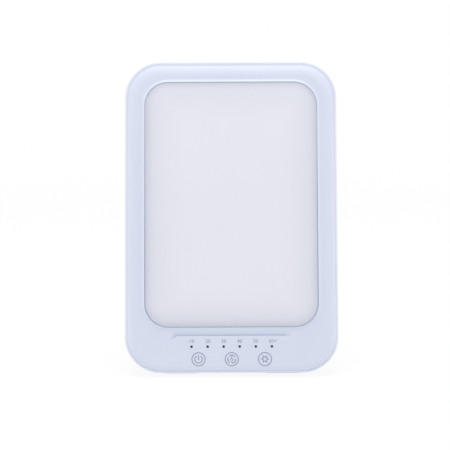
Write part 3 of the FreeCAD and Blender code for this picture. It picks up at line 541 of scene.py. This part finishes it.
@dataclass(frozen=True)
class Finish:
    """Two colours in soft patches, with a grain that shows in gloss and relief.

    Attributes:
        main: Colour of most of the surface, as a screen's levels.
        other: Colour of the patches.
        rough: Roughness.
        patches: Size of the patches in millimetres, their detail and its strength.
        spread: Where in the noise the patches start, and how fast they grow.
        grain: Size of the grain in millimetres, its detail and its strength.
        swing: How much the grain changes the roughness.
        relief: Depth of the grain in millimetres.
        extras: Other inputs of the surface, the same all over it.
    """

    main: Levels
    other: Levels
    rough: float = 0.4
    patches: Noise = (38.0, 2.0, 0.5)
    spread: Flat = (0.35, 1.6)
    grain: Noise = (0.45, 2.0, 0.55)
    swing: float = 0.12
    relief: float = 0.006
    extras: Extras = ()

    def colour(self, graph: Graph, wardrobe: Wardrobe) -> Socket:
        """Mix the two colours."""
        share = ((graph.noise(*self.patches) - self.spread[0]) * self.spread[1]).bounded()
        return graph.blend(share, linear(self.main), linear(self.other))

    def material(self, name: str, wardrobe: Wardrobe) -> bpy.types.Material:
        """Build the material.

        Args:
            name: What it is called.
            wardrobe: Who asks for it.

        Returns:
            The material.
        """
        graph = Graph(name)
        grain = graph.noise(*self.grain)
        return graph.close(
            Base_Color=self.colour(graph, wardrobe), Normal=graph.bump(grain, self.relief),
            Roughness=self.rough + (grain - 0.5) * self.swing, **dict(self.extras))


@dataclass(frozen=True)
class MouldedPlastic(Finish):
    """Satin plastic with a fine spark-eroded grain."""

    rough: float = 0.42


@dataclass(frozen=True)
class OpalAcrylic(Finish):
    """Milky acrylic that scatters light, with shade painted into its colour along its edge.

    Attributes:
        painted_edge_shade: Colour of the shade painted at the very edge.
        stops: How much of the painted edge shade is left at each distance, in millimetres.
    """

    rough: float = 0.5
    patches: Noise = (60.0, 2.0, 0.5)
    spread: Flat = (0.35, 1.5)
    grain: Noise = (0.3, 2.0, 0.5)
    swing: float = 0.1
    relief: float = 0.002
    extras: Extras = (
        ("Specular_IOR_Level", 0.35), ("Subsurface_Weight", 0.2),
        ("Subsurface_Radius", (0.004, 0.004, 0.0045)), ("Subsurface_Scale", 1.0))
    # Painted shade: this grey darkens the panel along its edge, where the frame's crease shades
    # it.
    painted_edge_shade: Levels = (255, 255, 255)
    stops: tuple[Flat, ...] = (
        (0.0, 0.62), (0.8, 0.6), (2.0, 0.52), (4.0, 0.36), (6.5, 0.23), (12.0, 0.12),
        (20.0, 0.05), (30.0, 0.0))

    def colour(self, graph: Graph, wardrobe: Wardrobe) -> Socket:
        """Mix the two milks, then the painted edge shade over them.

        Args:
            graph: The nodes of the material.
            wardrobe: Who knows the window and the space.

        Returns:
            The socket of the mixed colour.
        """
        # Shade painted into the colour, fading inwards from the window's edge.
        reach = self.stops[-1][0]
        away = graph.inside(wardrobe.window, wardrobe.space)
        ramp = graph.add("ShaderNodeValToRGB", {"stops": [
            (place / reach, (share, share, share)) for place, share in self.stops]},
            {"Fac": away * (1 / reach)})
        return graph.blend(ramp.outputs["Color"], super().colour(graph, wardrobe),
                           linear(self.painted_edge_shade))


@dataclass(frozen=True)
class SoftRubber(Finish):
    """Matt rubber with a dry bloom."""

    rough: float = 0.78
    patches: Noise = (1.6, 5.0, 0.65)
    spread: Flat = (0.45, 2.2)
    grain: Noise = (0.22, 3.0, 0.5)
    swing: float = 0.2
    relief: float = 0.012


@dataclass(frozen=True)
class PlatedMetal(Finish):
    """Plated metal with fine turning marks and dull patches."""

    rough: float = 0.3
    patches: Noise = (2.4, 4.0, 0.6)
    spread: Flat = (0.0, 1.0)
    grain: Noise = (0.12, 2.0, 0.5)
    swing: float = 0.2
    relief: float = 0.002
    extras: Extras = (("Metallic", 1.0),)


@dataclass(frozen=True)
class Ink(Finish):
    """Screen-printed ink, a little uneven."""

    rough: float = 0.55
    patches: Noise = (0.35, 3.0, 0.5)
    spread: Flat = (0.4, 1.5)
    grain: Noise = (0.35, 3.0, 0.5)
    swing: float = 0.1
    relief: float = 0.001


@dataclass(frozen=True)
class Lacquer(Finish):
    """Solder mask, resin or film: a glossy coat over an uneven ground."""

    rough: float = 0.3
    patches: Noise = (1.2, 4.0, 0.6)
    spread: Flat = (0.4, 2.0)
    grain: Noise = (1.2, 4.0, 0.6)
    swing: float = 0.15
    relief: float = 0.004
    extras: Extras = (("Coat_Weight", 0.4), ("Coat_Roughness", 0.2))


@dataclass(frozen=True)
class CellFoam(Finish):
    """Closed-cell foam, pitted all over."""

    rough: float = 0.88
    patches: Noise = (0.5, 3.0, 0.6)
    spread: Flat = (0.4, 3.0)
    grain: Noise = (0.5, 3.0, 0.6)
    swing: float = 0.1
    relief: float = 0.05


# Whites picked in the light that Studio sets
HOUSING = MouldedPlastic((219, 226, 243), (216, 223, 241))
# A paler copy of the front's white, worn by the rear cover, leg and hub: painted light that
# brightens the rear cover's rim.
SHELL_WITH_PAINTED_LIGHT = MouldedPlastic((227, 230, 244), (224, 227, 242))
# The opal's edge grey is painted shade.
OPAL = OpalAcrylic((235, 236, 245), (233, 234, 243), painted_edge_shade=(190, 196, 213))
PRINT = Ink((148, 157, 178), (160, 169, 190))
STEEL = PlatedMetal((206, 208, 212), (168, 170, 176))
NICKEL = PlatedMetal((214, 208, 190), (180, 172, 150), 0.22)
CAN = PlatedMetal((200, 204, 210), (176, 180, 188), 0.25)
RUBBER = SoftRubber((206, 210, 222), (218, 221, 232))
SMOKED = Lacquer((16, 16, 20), (24, 24, 30), 0.18)
BLACK = MouldedPlastic((32, 32, 34), (40, 40, 43), 0.5)
FOAM = CellFoam((44, 44, 47), (22, 22, 24))
REFLECTOR = MouldedPlastic((238, 238, 238), (232, 232, 232), 0.6)
WHITE_MASK = Lacquer((236, 236, 232), (226, 226, 220), 0.4)
GREEN_MASK = Lacquer((28, 96, 56), (20, 78, 44), 0.35)
COOL_RESIN = Lacquer((236, 232, 190), (226, 220, 170), 0.2)
WARM_RESIN = Lacquer((240, 196, 96), (228, 178, 78), 0.2)
IVORY = MouldedPlastic((232, 226, 208), (226, 218, 198), 0.45)
FILM = Lacquer((214, 218, 222), (190, 196, 204), 0.25)

NODE_FINISHES: dict[str, Finish] = {node: finish for finish, nodes in (
    (SHELL_WITH_PAINTED_LIGHT, "rear_cover stand_leg swivel_hub"), (HOUSING, "front_cover"),
    (OPAL, "diffuser_panel"), (SMOKED, "indicator_light_guide"),
    (FOAM, "diffuser_gasket touch_pillars"), (REFLECTOR, "reflector_frame"),
    (WHITE_MASK, "led_board"), (GREEN_MASK, "control_board"),
    (COOL_RESIN, "cool_white_leds indicator_leds"), (WARM_RESIN, "warm_white_leds"),
    (STEEL, "housing_screws hub_screw hinge_pin pin_clip hub_holder"),
    (RUBBER, "edge_pads leg_foot"), (BLACK, "dc_socket touch_controller_chip driver_inductor"),
    (NICKEL, "dc_centre_pin"), (CAN, "smoothing_capacitor"), (IVORY, "ribbon_plugs"),
    (FILM, "link_ribbon")) for node in nodes.split()}


# ------------------------------ dressing

@dataclass
class Wardrobe:
    """Makes each finish once and puts it on CAD nodes and pieces.

    Attributes:
        window: The opening that the opal panel fills.
        space: The lamp's own space.
        made: The materials so far.
    """

    window: RoundBox
    space: LampSpace
    made: dict[Finish, bpy.types.Material]

    def get(self, finish: Finish, name: str) -> bpy.types.Material:
        """Find the material of a finish, or make it.

        Args:
            finish: The finish.
            name: What the material is called if it is new.

        Returns:
            The material.
        """
        if finish not in self.made:
            self.made[finish] = finish.material(name, self)
        return self.made[finish]

    def dress_nodes(self, nodes: dict[str, Item]) -> None:
        """Give every CAD node its material.

        Args:
            nodes: The nodes by name.
        """
        for name, item in nodes.items():
            material = self.get(NODE_FINISHES[name], f"{name}_finish")
            for slot in item.material_slots:
                slot.material = material
            if not item.material_slots:
                item.data.materials.append(material)
            LOG.info("node %s wears %s", name, material.name)

    def settle(self, item: Item, kind: Assembly) -> None:
        """Dress a piece, hang it on its body, hide the CAD nodes that it stands for and log it.

        Args:
            item: The piece.
            kind: The sub-assembly that it is of.
        """
        item.data.materials.clear()
        item.data.materials.append(self.get(kind.FINISH, f"{item.name}_finish"))
        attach(item, kind.BODY.value)
        if kind.REPLACED:
            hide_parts(*kind.REPLACED)
        LOG.info("piece %s rides on %s", item.name, kind.BODY.value)


class Assembly:
    """A sub-assembly that is drawn as one piece, unless its own build makes several.

    Attributes:
        PIECE: Name of the piece.
        FINISH: Its finish.
        BODY: What it rides on.
        SLOT: The record's material slot that matches its finish.
        REPLACED: The CAD nodes that it stands for.
        SHARP: Angle in degrees above which its edges stay sharp.
    """

    PIECE: str
    FINISH: Finish
    BODY = Body.LAMP
    SLOT: Slot | None = None
    REPLACED: tuple[str, ...] = ()
    SHARP: float

    def draw(self, draft: Draft) -> None:
        """Draw the piece."""
        raise NotImplementedError

    def build(self, space: LampSpace) -> list[Item]:
        """Make the piece.

        Args:
            space: The lamp's own space.

        Returns:
            The piece alone.
        """
        draft = Draft()
        self.draw(draft)
        return [draft.finish(self.PIECE, space, self.SHARP)]

    def dress(self, items: Sequence[Item], wardrobe: Wardrobe) -> None:
        """Put the finish on every piece."""
        for item in items:
            wardrobe.settle(item, self)


# ------------------------------ front frame

@dataclass
class FrontFrame(Assembly):
    """The crowned frame with its bead, finger scoop and indicator holes.

    Attributes:
        outer: Outline of the frame.
        window: Outline of its window.
    """

    PIECE, FINISH, SLOT, REPLACED = "crowned_frame", HOUSING, Slot.HOUSING, ("front_cover",)
    SHARP = 38.0

    outer: RoundBox
    window: RoundBox
    face: float = 20.0
    seat: float = 13.0
    under: float = 17.8
    wall: float = 2.2
    ledge: float = 1.2
    crown_drop: float = 2.5
    crown_low: float = 2.8
    crown_side: float = 7.5
    crown_high: float = 10.0
    crown_turn: tuple[Flat, Flat] = ((-112.0, -72.0), (60.0, 105.0))
    edge_width: float = 0.3
    edge_drop: float = 0.08
    bead_width: float = 2.6
    bead_rise: float = 1.1
    bead_roll: float = 0.3
    bead_drop: float = 0.55
    bead_hollow: float = 1.7
    scoop_middle: float = -1.0
    scoop_half: float = 40.0
    scoop_end: float = 6.6
    scoop_low: float = -89.9
    scoop_height: float = 3.5
    scoop_depth: float = 1.68
    scoop_step: float = 0.14
    scoop_hook: float = 0.95
    scoop_stations: int = 120
    scoop_shares: Steps = (0.0, 0.08, 0.18, 0.3, 0.42, 0.55, 0.68, 0.8, 0.9, 1.0)
    guards: Flat = (0.0, 0.35)
    droop_start: float = -39.5
    droop_reach: float = 5.4
    droop: float = 2.5
    dot_pitch: float = 12.0
    dot_y: float = -98.0
    dot_radius: float = 1.0
    dot_count: int = 6
    clear: float = 0.99
    crown_steps: Steps = (
        0.0, 0.02, 0.06, 0.13, 0.3, 0.5, 0.75, 1.0, 1.2, 1.24, 1.32, 1.5, 1.8, 2.2, 2.6, 3.1,
        3.7, 4.4, 5.2, 6.1, 7.1, 8.1, 9.1, 10.0)
    bead_steps: Steps = (
        0.0, 0.012, 0.04, 0.1, 0.18, 0.3, 0.4, 0.55, 0.75, 1.0, 1.3, 1.7, 2.1, 2.6)

    @property
    def dots(self) -> list[Flat]:
        """Centres of the indicator holes."""
        middle = (self.dot_count - 1) / 2
        return [((step - middle) * self.dot_pitch, self.dot_y)
                for step in range(self.dot_count)]

    @property
    def holes(self) -> list[list[Flat]]:
        """Outlines of the indicator holes."""
        return [circle_walk(dot, self.dot_radius) for dot in self.dots]

    def crown_ends(self, y: float) -> Flat:
        """Find where the crown begins and ends at a height up the face.

        Args:
            y: The height up the face.

        Returns:
            Both distances from the outer edge: along the top it begins later and is wider.
        """
        (low, low_end), (high, high_end) = self.crown_turn
        side, top = ease((y - low) / (low_end - low)), ease((y - high) / (high_end - high))
        return self.ledge * top, (self.crown_low + (self.crown_side - self.crown_low) * side
                                  + (self.crown_high - self.crown_side) * top)

    def surface(self, x: float, y: float) -> float:
        """Find the height of the face at a place.

        Args:
            x: The place across the face.
            y: The place up the face.

        Returns:
            The height, without the bead.
        """
        depth = self.outer.depth(x, y)
        begin, end = self.crown_ends(y)
        arc = self.face - arc_drop(end - max(depth, begin), end - begin, self.crown_drop)
        return arc - self.edge_drop * roll(depth / self.edge_width) - self.scoop(x, y)

    def bead(self, away: float) -> float:
        """Find how high the bead is.

        Args:
            away: The distance outside the window.

        Returns:
            Its height over the face.
        """
        if away < self.bead_roll:
            return self.bead_rise - self.bead_drop * roll(away / self.bead_roll)
        share = min((away - self.bead_roll) / (self.bead_width - self.bead_roll), 1.0)
        return self.bead_rise * (1 - share) ** self.bead_hollow

    def scoop_lines(self, x: float) -> Flat:
        """Find the scoop's crisp lower line, which droops at its left end, and its upper one."""
        past = min(max((self.droop_start - x) / self.droop_reach, 0.0), 1.0)
        return self.scoop_low - self.droop * past ** 2, self.scoop_low + self.scoop_height

    def scoop(self, x: float, y: float) -> float:
        """Find how deep the scoop is at a place.

        Args:
            x: The place across the face.
            y: The place up the face.

        Returns:
            The depth, 0 outside the scoop.
        """
        lower, upper = self.scoop_lines(x)
        if not lower - self.scoop_step < y < upper:
            return 0.0
        past = (abs(x - self.scoop_middle) - self.scoop_half) / self.scoop_end
        deep = self.scoop_depth * (1 - ease(past))
        if y < lower:
            return deep * (1 - (lower - y) / self.scoop_step)
        return deep * ((upper - y) / (upper - lower)) ** self.scoop_hook

    def between(self, outer: RoundBox, inner: RoundBox) -> Test:
        """Make the test for places between two outlines and outside the indicator holes."""
        return lambda x, y: outer.depth(x, y) > 0 > inner.depth(x, y) and all(
            math.hypot(x - dot[0], y - dot[1]) > self.dot_radius * self.clear
            for dot in self.dots)

    def field(self, draft: Draft) -> None:
        """Fill the face between the crown and the bead, with the scoop and the holes.

        Args:
            draft: Where the frame is drawn.
        """
        brink = self.outer.grown(-self.crown_steps[-1])
        rim = self.window.grown(self.bead_width)
        reach, half = self.scoop_half + self.scoop_end, self.scoop_stations / 2
        stations = [(x, *self.scoop_lines(x)) for x in (
            self.scoop_middle + reach * (step / half - 1)
            for step in range(self.scoop_stations + 1))]
        lines = [[(x, low + (high - low) * share) for x, low, high in stations]
                 for share in self.scoop_shares]
        lines += [[(x, low - self.scoop_step - guard) for x, low, _ in stations]
                  for guard in self.guards]
        draft.sheet([brink.contour(), rim.contour(), *self.holes],
                    self.between(brink, rim), self.surface, lines)

    def lining(self, draft: Draft, edge: list[int], lip: list[int]) -> None:
        """Close the frame behind: skirt, underside, window wall and hole walls.

        Args:
            draft: Where the frame is drawn.
            edge: The ring at the crown's outer edge.
            lip: The ring at the window's edge.
        """
        inside = self.outer.grown(-self.wall)
        draft.bands(draft.ring(inside.contour(), self.under),
                    draft.ring(inside.contour(), self.seat),
                    draft.ring(self.outer.contour(), self.seat), edge)
        draft.bands(lip, draft.ring(self.window.contour(), self.under))
        for hole in self.holes:
            draft.bands(draft.ring(hole, self.face), draft.ring(hole, self.under))
        draft.sheet([inside.contour(), self.window.contour(), *self.holes],
                    self.between(inside, self.window), lambda x, y: self.under)

    def draw(self, draft: Draft) -> None:
        """Draw the frame.

        Args:
            draft: Where it is drawn.
        """
        crown = [draft.ring(self.outer.grown(-step).contour(), self.surface)
                 for step in self.crown_steps]
        bead = [draft.ring(self.window.grown(step).contour(), self.face + self.bead(step))
                for step in self.bead_steps]
        draft.bands(*crown)
        draft.bands(*bead)
        self.field(draft)
        self.lining(draft, crown[0], bead[0])


# ------------------------------ diffuser

@dataclass
class OpalPillow(Assembly):
    """The opal panel that swells out of the window.

    Attributes:
        outline: Outline of the panel.
    """

    PIECE, FINISH, SLOT, REPLACED = "opal_pillow", OPAL, Slot.DIFFUSER, ("diffuser_panel",)
    SHARP = 60.0

    outline: RoundBox
    root: float = 16.3
    brim: float = 20.5
    crest: float = 22.0
    reach: float = 13.0
    edge_width: float = 1.1
    edge_drop: float = 0.7
    edge_start: float = 80.0
    edge_reach: float = 120.0
    steps: Steps = (
        0.0, 0.02, 0.06, 0.14, 0.26, 0.42, 0.62, 0.85, 1.1, 1.5, 2.0, 2.8, 3.7, 4.7, 5.8,
        7.0, 8.3, 9.6, 11.2, 13.0)

    def draw(self, draft: Draft) -> None:
        """Draw the panel, whose edge tucks in under the bead towards the bottom.

        Args:
            draft: Where it is drawn.
        """
        rings = [draft.ring(self.outline.contour(), self.root)]
        for step in self.steps:
            swell = self.crest - arc_drop(self.reach - step, self.reach, self.crest - self.brim)
            tuck = self.edge_drop * roll(step / self.edge_width)
            rings.append(draft.ring(
                self.outline.grown(-step).contour(),
                lambda _x, y, swell=swell, tuck=tuck: swell - tuck * ease(
                    (self.edge_start - y) / self.edge_reach)))
        draft.bands(*rings)
        draft.cap(rings[0])
        draft.cap(rings[-1])


# ------------------------------ prints

@dataclass
class ControlPrints(Assembly):
    """The printed marks of the control field: key rings, pictograms and minutes.

    Attributes:
        surface: Gives the height of the face that they are printed on.
    """

    FINISH, SHARP = PRINT, 30.0

    surface: Surface
    thick: float = 0.03
    key_pitch: float = 24.8
    key_y: float = -107.4
    ring_radius: float = 4.9
    ring_steps: int = 48
    line: float = 0.7
    bold: float = 0.75
    power_arc: Arc = (2.8, 150.0, 40)
    power_turn: float = 180.0
    power_bar: Stroke = (((0.0, 2.9), (0.0, -0.5)), (0.75, 0.9), False)
    colour_arc: Arc = (3.0, 46.0, 20)
    colour_turns: Steps = (-12.0, 108.0, 228.0)
    lamp_stem: Stroke = (((0.0, 2.7), (0.0, 0.3)), 0.65, False)
    lamp_shade: Stroke = (((-1.3, 0.0), (0.0, 0.4), (1.3, 0.0), (0.0, -2.3)), 0.6, True)
    sun_radius: float = 1.65
    ray_count: int = 6
    ray_ends: Flat = (1.9, 3.2)
    label_y: float = -94.05
    label_size: float = 3.7
    label_bold: float = 0.02
    label_curve: int = 3
    label_pitch: float = 11.9
    labels: tuple[tuple[str, float], ...] = (
        ("-10", -0.6), ("20", 0.1), ("30", 0.0), ("40", 0.0), ("50", 0.0), ("60+", 1.0))

    def stroke(self, draft: Draft, path: Sequence[Flat], width: float | Sequence[float],
               closed: bool) -> None:
        """Draw a line as a thin strip that lies on the face.

        Args:
            draft: Where it is drawn.
            path: The places that its middle passes.
            width: Its width, or its width at each place.
            closed: Whether it ends where it begins.
        """
        widths = [width] * len(path) if isinstance(width, (int, float)) else list(width)
        count = len(path)
        rows: list[list[int]] = [[], [], [], []]
        for index, (x, y) in enumerate(path):
            before = path[index - 1] if closed or index else path[index]
            after = path[(index + 1) % count] if closed or index + 1 < count else path[index]
            way = Vector((after[0] - before[0], after[1] - before[1])).normalized()
            half = widths[index] / 2
            for row, side, lift in zip(rows, (-half, half, half, -half), (1, 1, -1, -1)):
                place = (x + way.y * side, y - way.x * side)
                level = self.surface(*place) + lift * self.thick
                row += draft.ring([place], level)
        for index in range(count if closed else count - 1):
            after = (index + 1) % count
            for row, other in zip(rows, rows[1:] + rows[:1]):
                draft.faces.append((row[index], row[after], other[after], other[index]))
        if not closed:
            draft.cap([row[0] for row in rows])
            draft.cap([row[-1] for row in reversed(rows)])

    @staticmethod
    def arc(radius: float, half: float, steps: int, middle: float) -> list[Flat]:
        """Walk along an arc with half its length and its middle in degrees, 0 straight up."""
        shares = (2 * step / steps - 1 for step in range(steps + 1))
        return polar(radius, (math.radians(90 + middle + half * share) for share in shares))

    def marks(self) -> dict[str, list[Stroke]]:
        """Lay out the pictograms about the keys' centres.

        Returns:
            The strokes of an open ring with a bar, of a broken ring round a shaded lamp
            and of a small sun: the places, the width and whether the stroke is closed.
        """
        rays = zip(*(circle_walk(CENTRE, end, self.ray_count) for end in self.ray_ends))
        return {
            "power_mark": [(self.arc(*self.power_arc, self.power_turn), self.line, False),
                           self.power_bar],
            "colour_mark": [*((self.arc(*self.colour_arc, turn), self.bold, False)
                              for turn in self.colour_turns), self.lamp_stem, self.lamp_shade],
            "brightness_mark": [(circle_walk(CENTRE, self.sun_radius), self.bold, True),
                                *((ray, self.line, False) for ray in rays)],
        }

    def minutes(self, space: LampSpace) -> list[Item]:
        """Write the minutes over the indicator holes.

        Args:
            space: The lamp's own space.

        Returns:
            One object for each number.
        """
        items = []
        for index, (label, hang) in enumerate(self.labels):
            text = bpy.data.curves.new(f"minutes_{index}", "FONT")
            text.body = label
            text.align_x, text.align_y = "CENTER", "CENTER"
            text.size = self.label_size
            text.extrude = self.thick
            text.offset = self.label_bold
            text.resolution_u = self.label_curve
            proxy = bpy.data.objects.new(text.name, text)
            mesh = bpy.data.meshes.new_from_object(proxy)
            bpy.data.objects.remove(proxy)
            mesh.name = text.name
            x = (index - (len(self.labels) - 1) / 2) * self.label_pitch + hang
            place = Matrix.Translation((x, self.label_y, self.surface(x, self.label_y)))
            items.append(Draft.show(mesh, space.to_scene @ place, self.SHARP))
        return items

    def build(self, space: LampSpace) -> list[Item]:
        """Make every mark.

        Args:
            space: The lamp's own space.

        Returns:
            The three keys' marks and the minutes.
        """
        items = []
        ring = (circle_walk(CENTRE, self.ring_radius, self.ring_steps), self.line, True)
        for step, (name, strokes) in enumerate(self.marks().items()):
            draft = Draft()
            for path, width, closed in (ring, *strokes):
                places = [(x + (step - 1) * self.key_pitch, y + self.key_y) for x, y in path]
                self.stroke(draft, places, width, closed)
            items.append(draft.finish(name, space, self.SHARP))
        return items + self.minutes(space)


# ------------------------------ fasteners

@dataclass
class CrossScrews(Assembly):
    """Pan heads with a cross recess in the back's four sinks."""

    PIECE, FINISH, SLOT = "cross_head_screws", STEEL, Slot.STEEL
    REPLACED = ("housing_screws",)
    SHARP = 32.0

    reach_x: float = 66.5
    reach_y: float = 104.0
    seat: float = 1.3
    top: float = 0.1
    radius: float = 2.6
    round_steps: int = 32
    dome: float = 0.45
    arm: float = 1.5
    slot: float = 0.5
    recess: float = 0.8
    taper: float = 0.7
    brim: tuple[Flat, ...] = ((1.0, 1.0), (0.93, 0.42), (0.82, 0.1), (0.7, 0.0))

    def cross(self, centre: Flat, share: float = 1.0) -> list[Flat]:
        """Walk round the recess, turning left.

        Args:
            centre: Its centre.
            share: How much of its full size it has.

        Returns:
            Its twelve corners.
        """
        half, arm = self.slot / 2 * share, self.arm * share
        spots = [(arm, -half), (arm, half), (half, half)]
        for _ in range(3):
            spots += [(-y, x) for x, y in spots[-3:]]
        return [(centre[0] + x, centre[1] + y) for x, y in spots]

    def head(self, draft: Draft, centre: Flat) -> None:
        """Draw one head: a closed seat, a rounded rim, a flat top and a cross sunk in it.

        Args:
            draft: Where it is drawn.
            centre: Where its axis is.
        """
        sizes = (1.0, self.seat), *((wide, self.top + self.dome * low)
                                    for wide, low in self.brim)
        walks = [circle_walk(centre, self.radius * wide, self.round_steps) for wide, _ in sizes]
        rings = [draft.ring(walk, level) for walk, (_, level) in zip(walks, sizes)]
        draft.cap(rings[0])
        draft.bands(*rings)

        def on_top(x: float, y: float) -> bool:
            """Whether a place is on the top outside the cross."""
            near, far = sorted((abs(x - centre[0]), abs(y - centre[1])))
            return near > self.slot / 2 or far > self.arm

        cross = self.cross(centre)
        draft.sheet([walks[-1], cross], on_top, lambda x, y: self.top)
        floor = draft.ring(self.cross(centre, self.taper), self.top + self.recess)
        draft.bands(draft.ring(cross, self.top), floor)
        draft.cap(floor)

    def draw(self, draft: Draft) -> None:
        """Draw all the heads.

        Args:
            draft: Where they are drawn.
        """
        for x in (-self.reach_x, self.reach_x):
            for y in (-self.reach_y, self.reach_y):
                self.head(draft, (x, y))


# ------------------------------ studio

@dataclass(frozen=True)
class SoftLight:
    """A square soft light.

    Attributes:
        name: Its name.
        place: Where it hangs, in metres.
        size: Its side in metres.
        power: Its power in watts.
    """

    name: str
    place: tuple[float, float, float]
    size: float
    power: float

    def hang(self, goal: Vector) -> None:
        """Hang the light.

        Args:
            goal: The place that it looks at.
        """
        light = bpy.data.lights.new(self.name, "AREA")
        light.shape = "SQUARE"
        light.size = self.size
        light.energy = self.power
        item = put_in_scene(light)
        item.location = self.place
        item.rotation_euler = (goal - item.location).to_track_quat("-Z", "Y").to_euler()


@dataclass
class Studio:
    """Floor, lights, world and camera.

    Attributes:
        aim: What the camera looks at, in metres.
        rise: Elevation of the camera in degrees.
        turn: Azimuth of the camera in degrees.
        away: Distance of the camera in metres.
        tilt: Roll of the camera in degrees.
        angle: Width of the view in degrees.
    """

    aim: tuple[float, float, float] = (-0.004633, 0.0, 0.108774)
    rise: float = 10.251
    turn: float = -0.115
    away: float = 1.237
    tilt: float = -0.195
    angle: float = 15.7076
    floor_size: float = 6.0
    floor_glow: float = 0.8
    floor_lift: float = 0.7
    glow_near: float = 0.25
    glow_far: float = 1.1
    floor_grey: float = 0.9
    floor_patches: Noise = (90.0, 2.0, 0.5)
    floor_whites: tuple[Colour, Colour] = ((0.97, 0.97, 0.98), (0.99, 0.99, 1.0))
    ambient: float = 0.675
    clip: float = 50.0
    lights: tuple[SoftLight, ...] = (
        SoftLight("overhead_light", (0.0, -0.1, 1.5), 1.2, 9.9),
        SoftLight("left_light", (-1.0, -0.05, 0.25), 0.6, 1.5),
        SoftLight("right_light", (1.0, -0.05, 0.25), 0.6, 1.5))

    @staticmethod
    def seen(graph: Graph) -> Field:
        """Tell rays that come from the camera, straight, off gloss or through glass.

        Args:
            graph: The nodes that ask.

        Returns:
            1 for such a ray, otherwise 0.
        """
        path = graph.add("ShaderNodeLightPath")
        camera, glossy, through = (Field(graph, path.outputs[name]) for name in (
            "Is Camera Ray", "Is Glossy Ray", "Is Transmission Ray"))
        return (camera + glossy + through).bounded()

    def floor(self) -> None:
        """Lay a pale floor that is white to the camera apart from the object's shadow."""
        mesh = bpy.data.meshes.new("studio_floor")
        half = self.floor_size / 2
        mesh.from_pydata([(-half, -half, 0), (half, -half, 0), (half, half, 0),
                          (-half, half, 0)], [], [(0, 1, 2, 3)])
        item = put_in_scene(mesh)
        graph = Graph("studio_floor_finish")
        seen = self.seen(graph)
        white = graph.blend(graph.noise(*self.floor_patches), *self.floor_whites)
        paper = graph.add("ShaderNodeBsdfDiffuse", {}, {
            "Color": graph.blend(seen, (self.floor_grey,) * 3, white)})
        light = graph.add("ShaderNodeEmission", {}, {"Color": WHITE, "Strength": 1.0})
        length = graph.field("Value", "ShaderNodeVectorMath", {"operation": "LENGTH"},
                             {0: graph.place()})
        far = (length - self.glow_near) * (1 / (self.glow_far - self.glow_near))
        glow = self.floor_glow + far.bounded() * (1 - self.floor_glow)
        mix = graph.add("ShaderNodeMixShader", {}, {
            0: seen * (glow - self.floor_lift) + self.floor_lift, 1: paper.outputs[0],
            2: light.outputs[0]})
        graph.add("ShaderNodeOutputMaterial", {}, {"Surface": mix.outputs[0]})
        mesh.materials.append(graph.owner)

    def world(self) -> None:
        """Light everything softly and show white behind the floor."""
        world = bpy.data.worlds.new("studio_world")
        bpy.context.scene.world = world
        graph = Graph(world.name, world)
        soft, plain = (graph.add("ShaderNodeBackground", {}, {
            "Color": WHITE, "Strength": strength}) for strength in (self.ambient, 1.0))
        mix = graph.add("ShaderNodeMixShader", {}, {
            0: self.seen(graph), 1: soft.outputs[0], 2: plain.outputs[0]})
        graph.add("ShaderNodeOutputWorld", {}, {"Surface": mix.outputs[0]})

    def camera(self) -> None:
        """Set up the camera."""
        lens = bpy.data.cameras.new("studio_camera")
        lens.sensor_fit = "HORIZONTAL"
        lens.angle = math.radians(self.angle)
        lens.clip_end = self.clip
        turn, rise, tilt = (math.radians(a) for a in (self.turn, self.rise, self.tilt))
        outward = Vector((math.sin(turn) * math.cos(rise), -math.cos(turn) * math.cos(rise),
                          math.sin(rise)))
        right = Vector((0.0, 0.0, 1.0)).cross(outward).normalized()
        up = outward.cross(right)
        right, up = (right * math.cos(tilt) + up * math.sin(tilt),
                     up * math.cos(tilt) - right * math.sin(tilt))
        pose = Matrix((right, up, outward)).transposed().to_4x4()
        item = put_in_scene(lens)
        item.matrix_world = Matrix.Translation(Vector(self.aim) + outward * self.away) @ pose
        bpy.context.scene.camera = item

    def build(self) -> None:
        """Set up everything."""
        self.floor()
        self.world()
        for light in self.lights:
            light.hang(Vector(self.aim))
        self.camera()
        bpy.context.scene.view_settings.view_transform = "Standard"


# ------------------------------ main

CASE_CORNER = 25.0
CASE_PROUD = 0.16
WINDOW = RoundBox(130.2, 185.2, 17.8, (0.0, 8.9))
PANEL_GAP = 0.06


def main() -> None:
    """Build the sub-assemblies in order, dress them and set up the studio."""
    logging.basicConfig(level=logging.INFO, format="%(name)s: %(message)s")
    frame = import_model()
    space = LampSpace.from_frame(frame)
    low, high = space.extent(frame["nodes"]["front_cover"])
    case = RoundBox(high.x - low.x, high.y - low.y, CASE_CORNER)
    front = FrontFrame(case.grown(CASE_PROUD), WINDOW)
    wardrobe = Wardrobe(WINDOW, space, {})
    wardrobe.dress_nodes(frame["nodes"])
    for assembly in (front, OpalPillow(WINDOW.grown(-PANEL_GAP)),
                     ControlPrints(front.surface), CrossScrews()):
        items = assembly.build(space)
        assembly.dress(items, wardrobe)
        LOG.info("%s done, %d piece(s)", type(assembly).__name__, len(items))
    Studio().build()
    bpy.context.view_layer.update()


if __name__ == "__main__":
    main()
